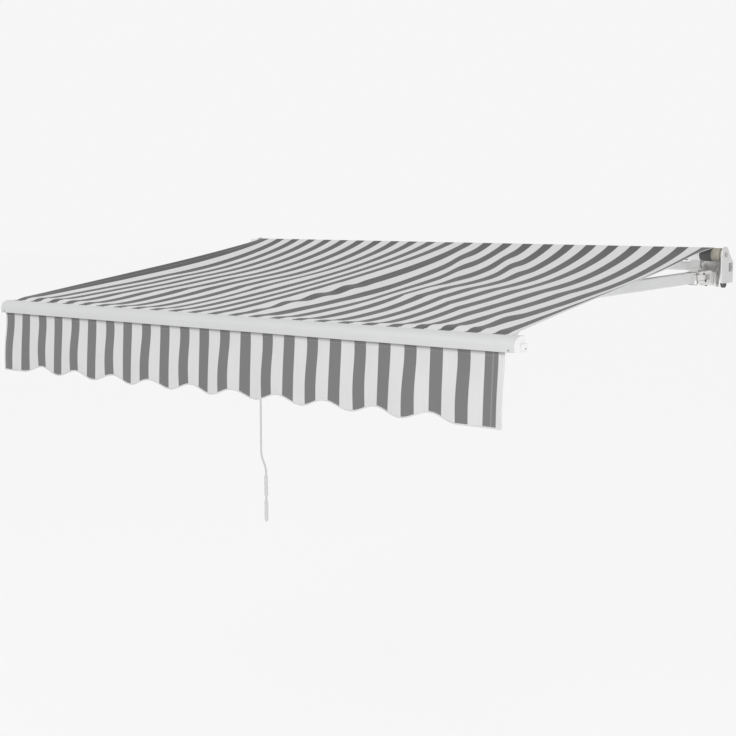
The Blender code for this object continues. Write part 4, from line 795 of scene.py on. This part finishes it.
valanceStitches = grown("valanceStitches", stitchRow, stitchSize, *polyline(hemLines()))


def canopyLine(x, first, last):
    lift = Vector((0, 0, canopyShape["thick"] / 2 + stitchPlace["lift"]))
    steps = stitchPlace["steps"]
    return [overRun(x, first + (last - first) * i / steps) + lift for i in range(steps + 1)]


sewnXs = [clothLeft + inset for inset in stitchPlace["leftHem"]]
sewnXs += [clothFarRight - inset for inset in stitchPlace["rightHem"]]
sewnXs += [clothLeft + stripes["pitch"] * (pair + darkShare) + stitchPlace["besideSeam"]
           for pair in stitchPlace["seams"]]
runStitches = grown("canopyStitches", stitchRow, stitchSize, *polyline(
    [canopyLine(x, lapShare, stitchPlace["last"]) for x in sewnXs]))
lapStitches = grown("canopyLapStitches", stitchRow, stitchSize, *polyline(
    [canopyLine(x, 0.0, lapShare) for x in sewnXs]))
print("awning: stitches sewn")


def screwSet(name, places, head, body, steel=None):
    # places are (point, direction) pairs
    size = {"Head": head, "Tall": head * 0.55, "Socket": head * 0.45, "Steel": steel or screwSteel}
    obj = grown(name, socketScrew, size, [p for p, _ in places], aims=[d for _, d in places])
    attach(obj, body)
    return obj


# Small screws: in the front bar's caps and below them, and in the end plates

screwPlaces = {
    "capIn": 0.014, "capUp": 0.012, "barX": 1.448, "barUp": 0.0085, "capHead": 0.0034,
    "plateApart": 0.010, "plateHead": 0.0050, "coverIn": 0.006, "coverHead": 0.0030,
}
torsionLow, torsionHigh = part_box("torsion_bar")
torsionMiddle = (torsionLow + torsionHigh) / 2
for side, word in ((-1, "left"), (1, "right")):
    low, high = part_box(f"front_bar_cap_{word}")
    face = high.x if side > 0 else low.x
    screwSet(f"barCapScrews_{word}", [
        (Vector((face, high.y - screwPlaces["capIn"], low.z + screwPlaces["capUp"])), (side, 0, 0)),
        (Vector((side * screwPlaces["barX"], barLow.y, barLow.z + screwPlaces["barUp"])), (0, -1, 0)),
    ], screwPlaces["capHead"], "front_bar")
    low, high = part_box(f"end_plate_{word}")
    face = high.x if side > 0 else low.x
    screwSet(f"endPlateScrews_{word}", [
        (Vector((face, torsionMiddle.y + away, torsionMiddle.z)), (side, 0, 0))
        for away in (-screwPlaces["plateApart"], screwPlaces["plateApart"])
    ], screwPlaces["plateHead"], "frame")


# Shoulders: bolts, a dark ring of painted shade in the joint gap where each arm's profile ends, and the hand knobs that
# hold the clamps shut

def turned(name, profile, count, material, centre, axis, hollow=False):
    # a lathe shape from (distance along the axis, radius), with a flat at both ends, or a ring when hollow
    points, faces = [], []
    for along, radius in profile:
        for i in range(count):
            angle = 2 * math.pi * i / count
            around = (radius * math.cos(angle), radius * math.sin(angle))
            points.append(centre + axis * along + Vector((0, *around)))
    for r in range(len(profile) if hollow else len(profile) - 1):
        after = (r + 1) % len(profile)
        for i in range(count):
            j = (i + 1) % count
            faces.append((r * count + i, r * count + j, after * count + j, after * count + i))
    if not hollow:
        faces.append(tuple(range(count - 1, -1, -1)))
        faces.append(tuple(range((len(profile) - 1) * count, len(profile) * count)))
    if axis.x < 0:
        faces = [face[::-1] for face in faces]
    obj = meshObject(name, points, faces, material)
    obj.data.set_sharp_from_angle(angle=math.radians(35))
    return obj


# the gap-shade sizes shape the dark rings that paint the shade in the arms' joint gaps
fittings = {
    "boltHead": 0.0070, "boltsX": (1.356, 1.412), "boltsY": -0.062, "forkScrew": 0.0055,
    "gapShadeThick": 0.0022, "gapShadeOver": 0.0004, "gapShadeSunk": 0.0008, "gapShadeProud": 0.0012, "gapShadeRound": 0.006,
    "knobPlace": (1.4256, -0.056, -0.079), "knobSides": 20, "collarFrom": 1.4006, "collarRound": 0.0302,
    "collarSides": 40, "tubeRoom": 0.0286, "plugRoom": 0.0258,
}
# screws that lock the shoulder's pin, on the upper and the lower cheek of its fork: place and direction at the right
forkScrews = (((1.4004, -0.1914, -0.0275), (0.83, -0.55, -0.05)), ((1.4040, -0.1797, -0.0601), (0.96, -0.28, -0.03)))
knobProfile = ((0, 0.006), (0.004, 0.006), (0.004, 0.0140), (0.0065, 0.0172), (0.0180, 0.0175), (0.0215, 0.0160),
               (0.0240, 0.0110))
collarProfile = (
    (0, fittings["tubeRoom"]), (0, fittings["collarRound"] - 0.0006), (0.0008, fittings["collarRound"]),
    (0.0390, fittings["collarRound"]), (0.0414, 0.0284), (0.0414, fittings["plugRoom"]), (0.0194, fittings["plugRoom"]),
    (0.0194, fittings["tubeRoom"]),
)
openWay = elbow - shoulder


def armGapShade(name, arm, hub, along, outFace):
    # a flat dark ring round the end of the arm's profile: painted shade where the joint gap is
    corners = [nodes[arm].matrix_world @ v.co for v in nodes[arm].data.vertices]
    start = min((corner - hub).dot(along) for corner in corners)
    up = along.cross(outFace).normalized()
    spread = [max(abs((corner - hub).dot(way)) for corner in corners) for way in (outFace, up)]
    inner = [max(half - fittings["gapShadeRound"], 0) for half in spread]
    loops = []
    for grow in (-fittings["gapShadeSunk"], fittings["gapShadeProud"]):
        radius = fittings["gapShadeRound"] + grow
        loop = []
        for quarter, (signA, signB) in enumerate(((1, 1), (-1, 1), (-1, -1), (1, -1))):
            for step in range(5):
                angle = math.radians(90 * quarter + 22.5 * step)
                loop.append((inner[0] * signA + radius * math.cos(angle), inner[1] * signB + radius * math.sin(angle)))
        loops.append(loop)
    points = [hub + along * (start - depth) + outFace * a + up * b
              for depth in (fittings["gapShadeThick"], -fittings["gapShadeOver"]) for loop in loops for a, b in loop]
    count = len(loops[0])
    faces = [(a * count + i, a * count + (i + 1) % count, b * count + (i + 1) % count, b * count + i)
             for i in range(count) for a, b in ((0, 1), (1, 3), (3, 2), (2, 0))]
    return meshObject(name, points, faces, darkRubberAndGapShade, False)


for side, word in ((-1, "left"), (1, "right")):
    outFace = Vector((side * -openWay.y, openWay.x, 0)).normalized()
    along = Vector((side * openWay.x, openWay.y, openWay.z)).normalized()
    hub = Vector((side * shoulder.x, shoulder.y, shoulder.z))
    # a dark ring that paints the shade in the gap where the arm meets its shoulder
    gapShade = armGapShade(f"armGapShade_{word}", f"upper_arm_{word}", hub, along, outFace)
    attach(gapShade, f"{word}_upper_arm")
    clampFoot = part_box(f"shoulder_clamp_{word}")[0].z
    screwSet(f"clampBolts_{word}", [
        (Vector((side * x, fittings["boltsY"], clampFoot)), (0, 0, -1)) for x in fittings["boltsX"]
    ], fittings["boltHead"], "frame", darkBolt)
    screwSet(f"forkScrews_{word}", [
        (Vector((side * at[0], at[1], at[2])), (side * way[0], way[1], way[2])) for at, way in forkScrews
    ], fittings["forkScrew"], f"{word}_shoulder", darkBolt)
    x, y, z = fittings["knobPlace"]
    knob = turned(f"clampKnob_{word}", knobProfile, fittings["knobSides"], darkRubberAndGapShade, Vector((side * x, y, z)),
                  Vector((side, 0, 0)))
    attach(knob, "frame")
    if side > 0:  # the left one would stand in the gear's housing
        collar = turned("plugCollar_right", collarProfile, fittings["collarSides"], finishes["beige_plastic"],
                        Vector((fittings["collarFrom"], rollMiddle.y, rollMiddle.z)), Vector((1, 0, 0)), True)
        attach(collar, "roller")


low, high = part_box("gearbox_cover")
inset = screwPlaces["coverIn"]
screwSet("gearboxScrews", [
    (Vector((low.x, y, z)), (-1, 0, 0))
    for y in (low.y + inset, high.y - inset) for z in (low.z + inset, high.z - inset)
], screwPlaces["coverHead"], "frame")

gripShape = {"fromEnds": 0.010, "sunk": 0.0010, "step": 0.0075, "thick": 0.0011}
for which in ("lower", "upper"):
    low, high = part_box(f"crank_grip_{which}")
    centre = (low + high) / 2
    ends = [Vector((centre.x, centre.y, z)) for z in (low.z + gripShape["fromEnds"], high.z - gripShape["fromEnds"])]
    ribs = grown(f"gripRibs_{which}", gripRibs, {
        "Step": gripShape["step"], "Round": (high.x - low.x) / 2 - gripShape["sunk"], "Thick": gripShape["thick"],
        "Plastic": finishes["white_plastic"],
    }, ends, [(0, 1)])
    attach(ribs, f"crank_{which}_grip")
print("awning: screws and grip ribs placed")


# What stands for the soft solids, and how it moves


for piece in (canopyRun, runStitches):
    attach(piece, "right_shoulder")
    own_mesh(piece)
for piece in (canopyLap, lapStitches):
    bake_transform(piece)
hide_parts("canopy")
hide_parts("canopy")
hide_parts("canopy")
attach(woundCloth, "roller")
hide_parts("wound_cloth")
for piece in (canopyEnd, valance, valanceStitches):
    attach(piece, "front_bar")
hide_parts("valance")

lapRun = canopyShape["lap"] + (startAngle(0) - math.radians(canopyShape["wrapFrom"])) * wrapRadius


# Floor, backdrop and light

studio = {"floor": -2.40, "floorHalf": 60, "backdrop": 0.925, "floorGlow": 0.985, "floorShow": 0.82, "dome": 0.68}


def seenRays(tree):
    # rays that reach the camera, straight or by a glossy or clear surface
    path = put(tree, "ShaderNodeLightPath").outputs
    return sums(tree, "MAXIMUM", sums(tree, "MAXIMUM", path["Is Camera Ray"], path["Is Glossy Ray"]),
                path["Is Transmission Ray"])


floorMaterial, tree, shader = newMaterial("studioFloor")
shader.inputs["Base Color"].default_value = grey(0.86)
shader.inputs["Roughness"].default_value = 0.9
plain = outOf(tree, "ShaderNodeEmission", {"Color": grey(studio["floorGlow"])})
blend = outOf(tree, "ShaderNodeMixShader", {
    0: times(tree, seenRays(tree), studio["floorShow"]), 1: shader.outputs[0], 2: plain})
tree.links.new(blend, tree.nodes["Material Output"].inputs["Surface"])
half = studio["floorHalf"]
floor = meshObject("studioFloor", [
    (x, y, studio["floor"]) for x, y in ((-half, -half), (half, -half), (half, half), (-half, half))
], [(0, 1, 2, 3)], floorMaterial, False)

world = bpy.data.worlds.new("studioDome")
scene.world = world
world.use_nodes = True
tree = world.node_tree
tree.nodes.clear()
dome = outOf(tree, "ShaderNodeBackground", {"Color": grey(1.0), "Strength": studio["dome"]})
shown = outOf(tree, "ShaderNodeBackground", {"Color": grey(studio["backdrop"]), "Strength": 1.0})
blend = outOf(tree, "ShaderNodeMixShader", {0: seenRays(tree), 1: dome, 2: shown})
tree.links.new(blend, put(tree, "ShaderNodeOutputWorld").inputs["Surface"])

# name, place, aimed at, size, watts
softBoxes = (
    ("keyBox", (-1.5, -7.5, 4.5), (0, -1.2, -0.1), 4.0, 150),
    ("sideBox", (7.5, -3.2, 0.9), (0.8, -0.8, -0.1), 3.0, 78),
    ("lowBox", (4.2, -4.2, -0.9), (1.3, -0.2, 0.0), 1.6, 30),
    ("underBox", (0.6, -1.45, -1.0), (1.35, 0.0, 0.0), 0.8, 12),
)
for name, place, target, size, watts in softBoxes:
    lamp = bpy.data.lights.new(name, "AREA")
    lamp.shape = "SQUARE"
    lamp.size = size
    lamp.energy = watts
    obj = bpy.data.objects.new(name, lamp)
    obj.location = place
    obj.rotation_euler = (Vector(target) - Vector(place)).to_track_quat("-Z", "Y").to_euler()
    obj.visible_camera = False
    scene.collection.objects.link(obj)
scene.view_settings.view_transform = "Standard"
print("awning: studio lit")

bpy.context.view_layer.update()
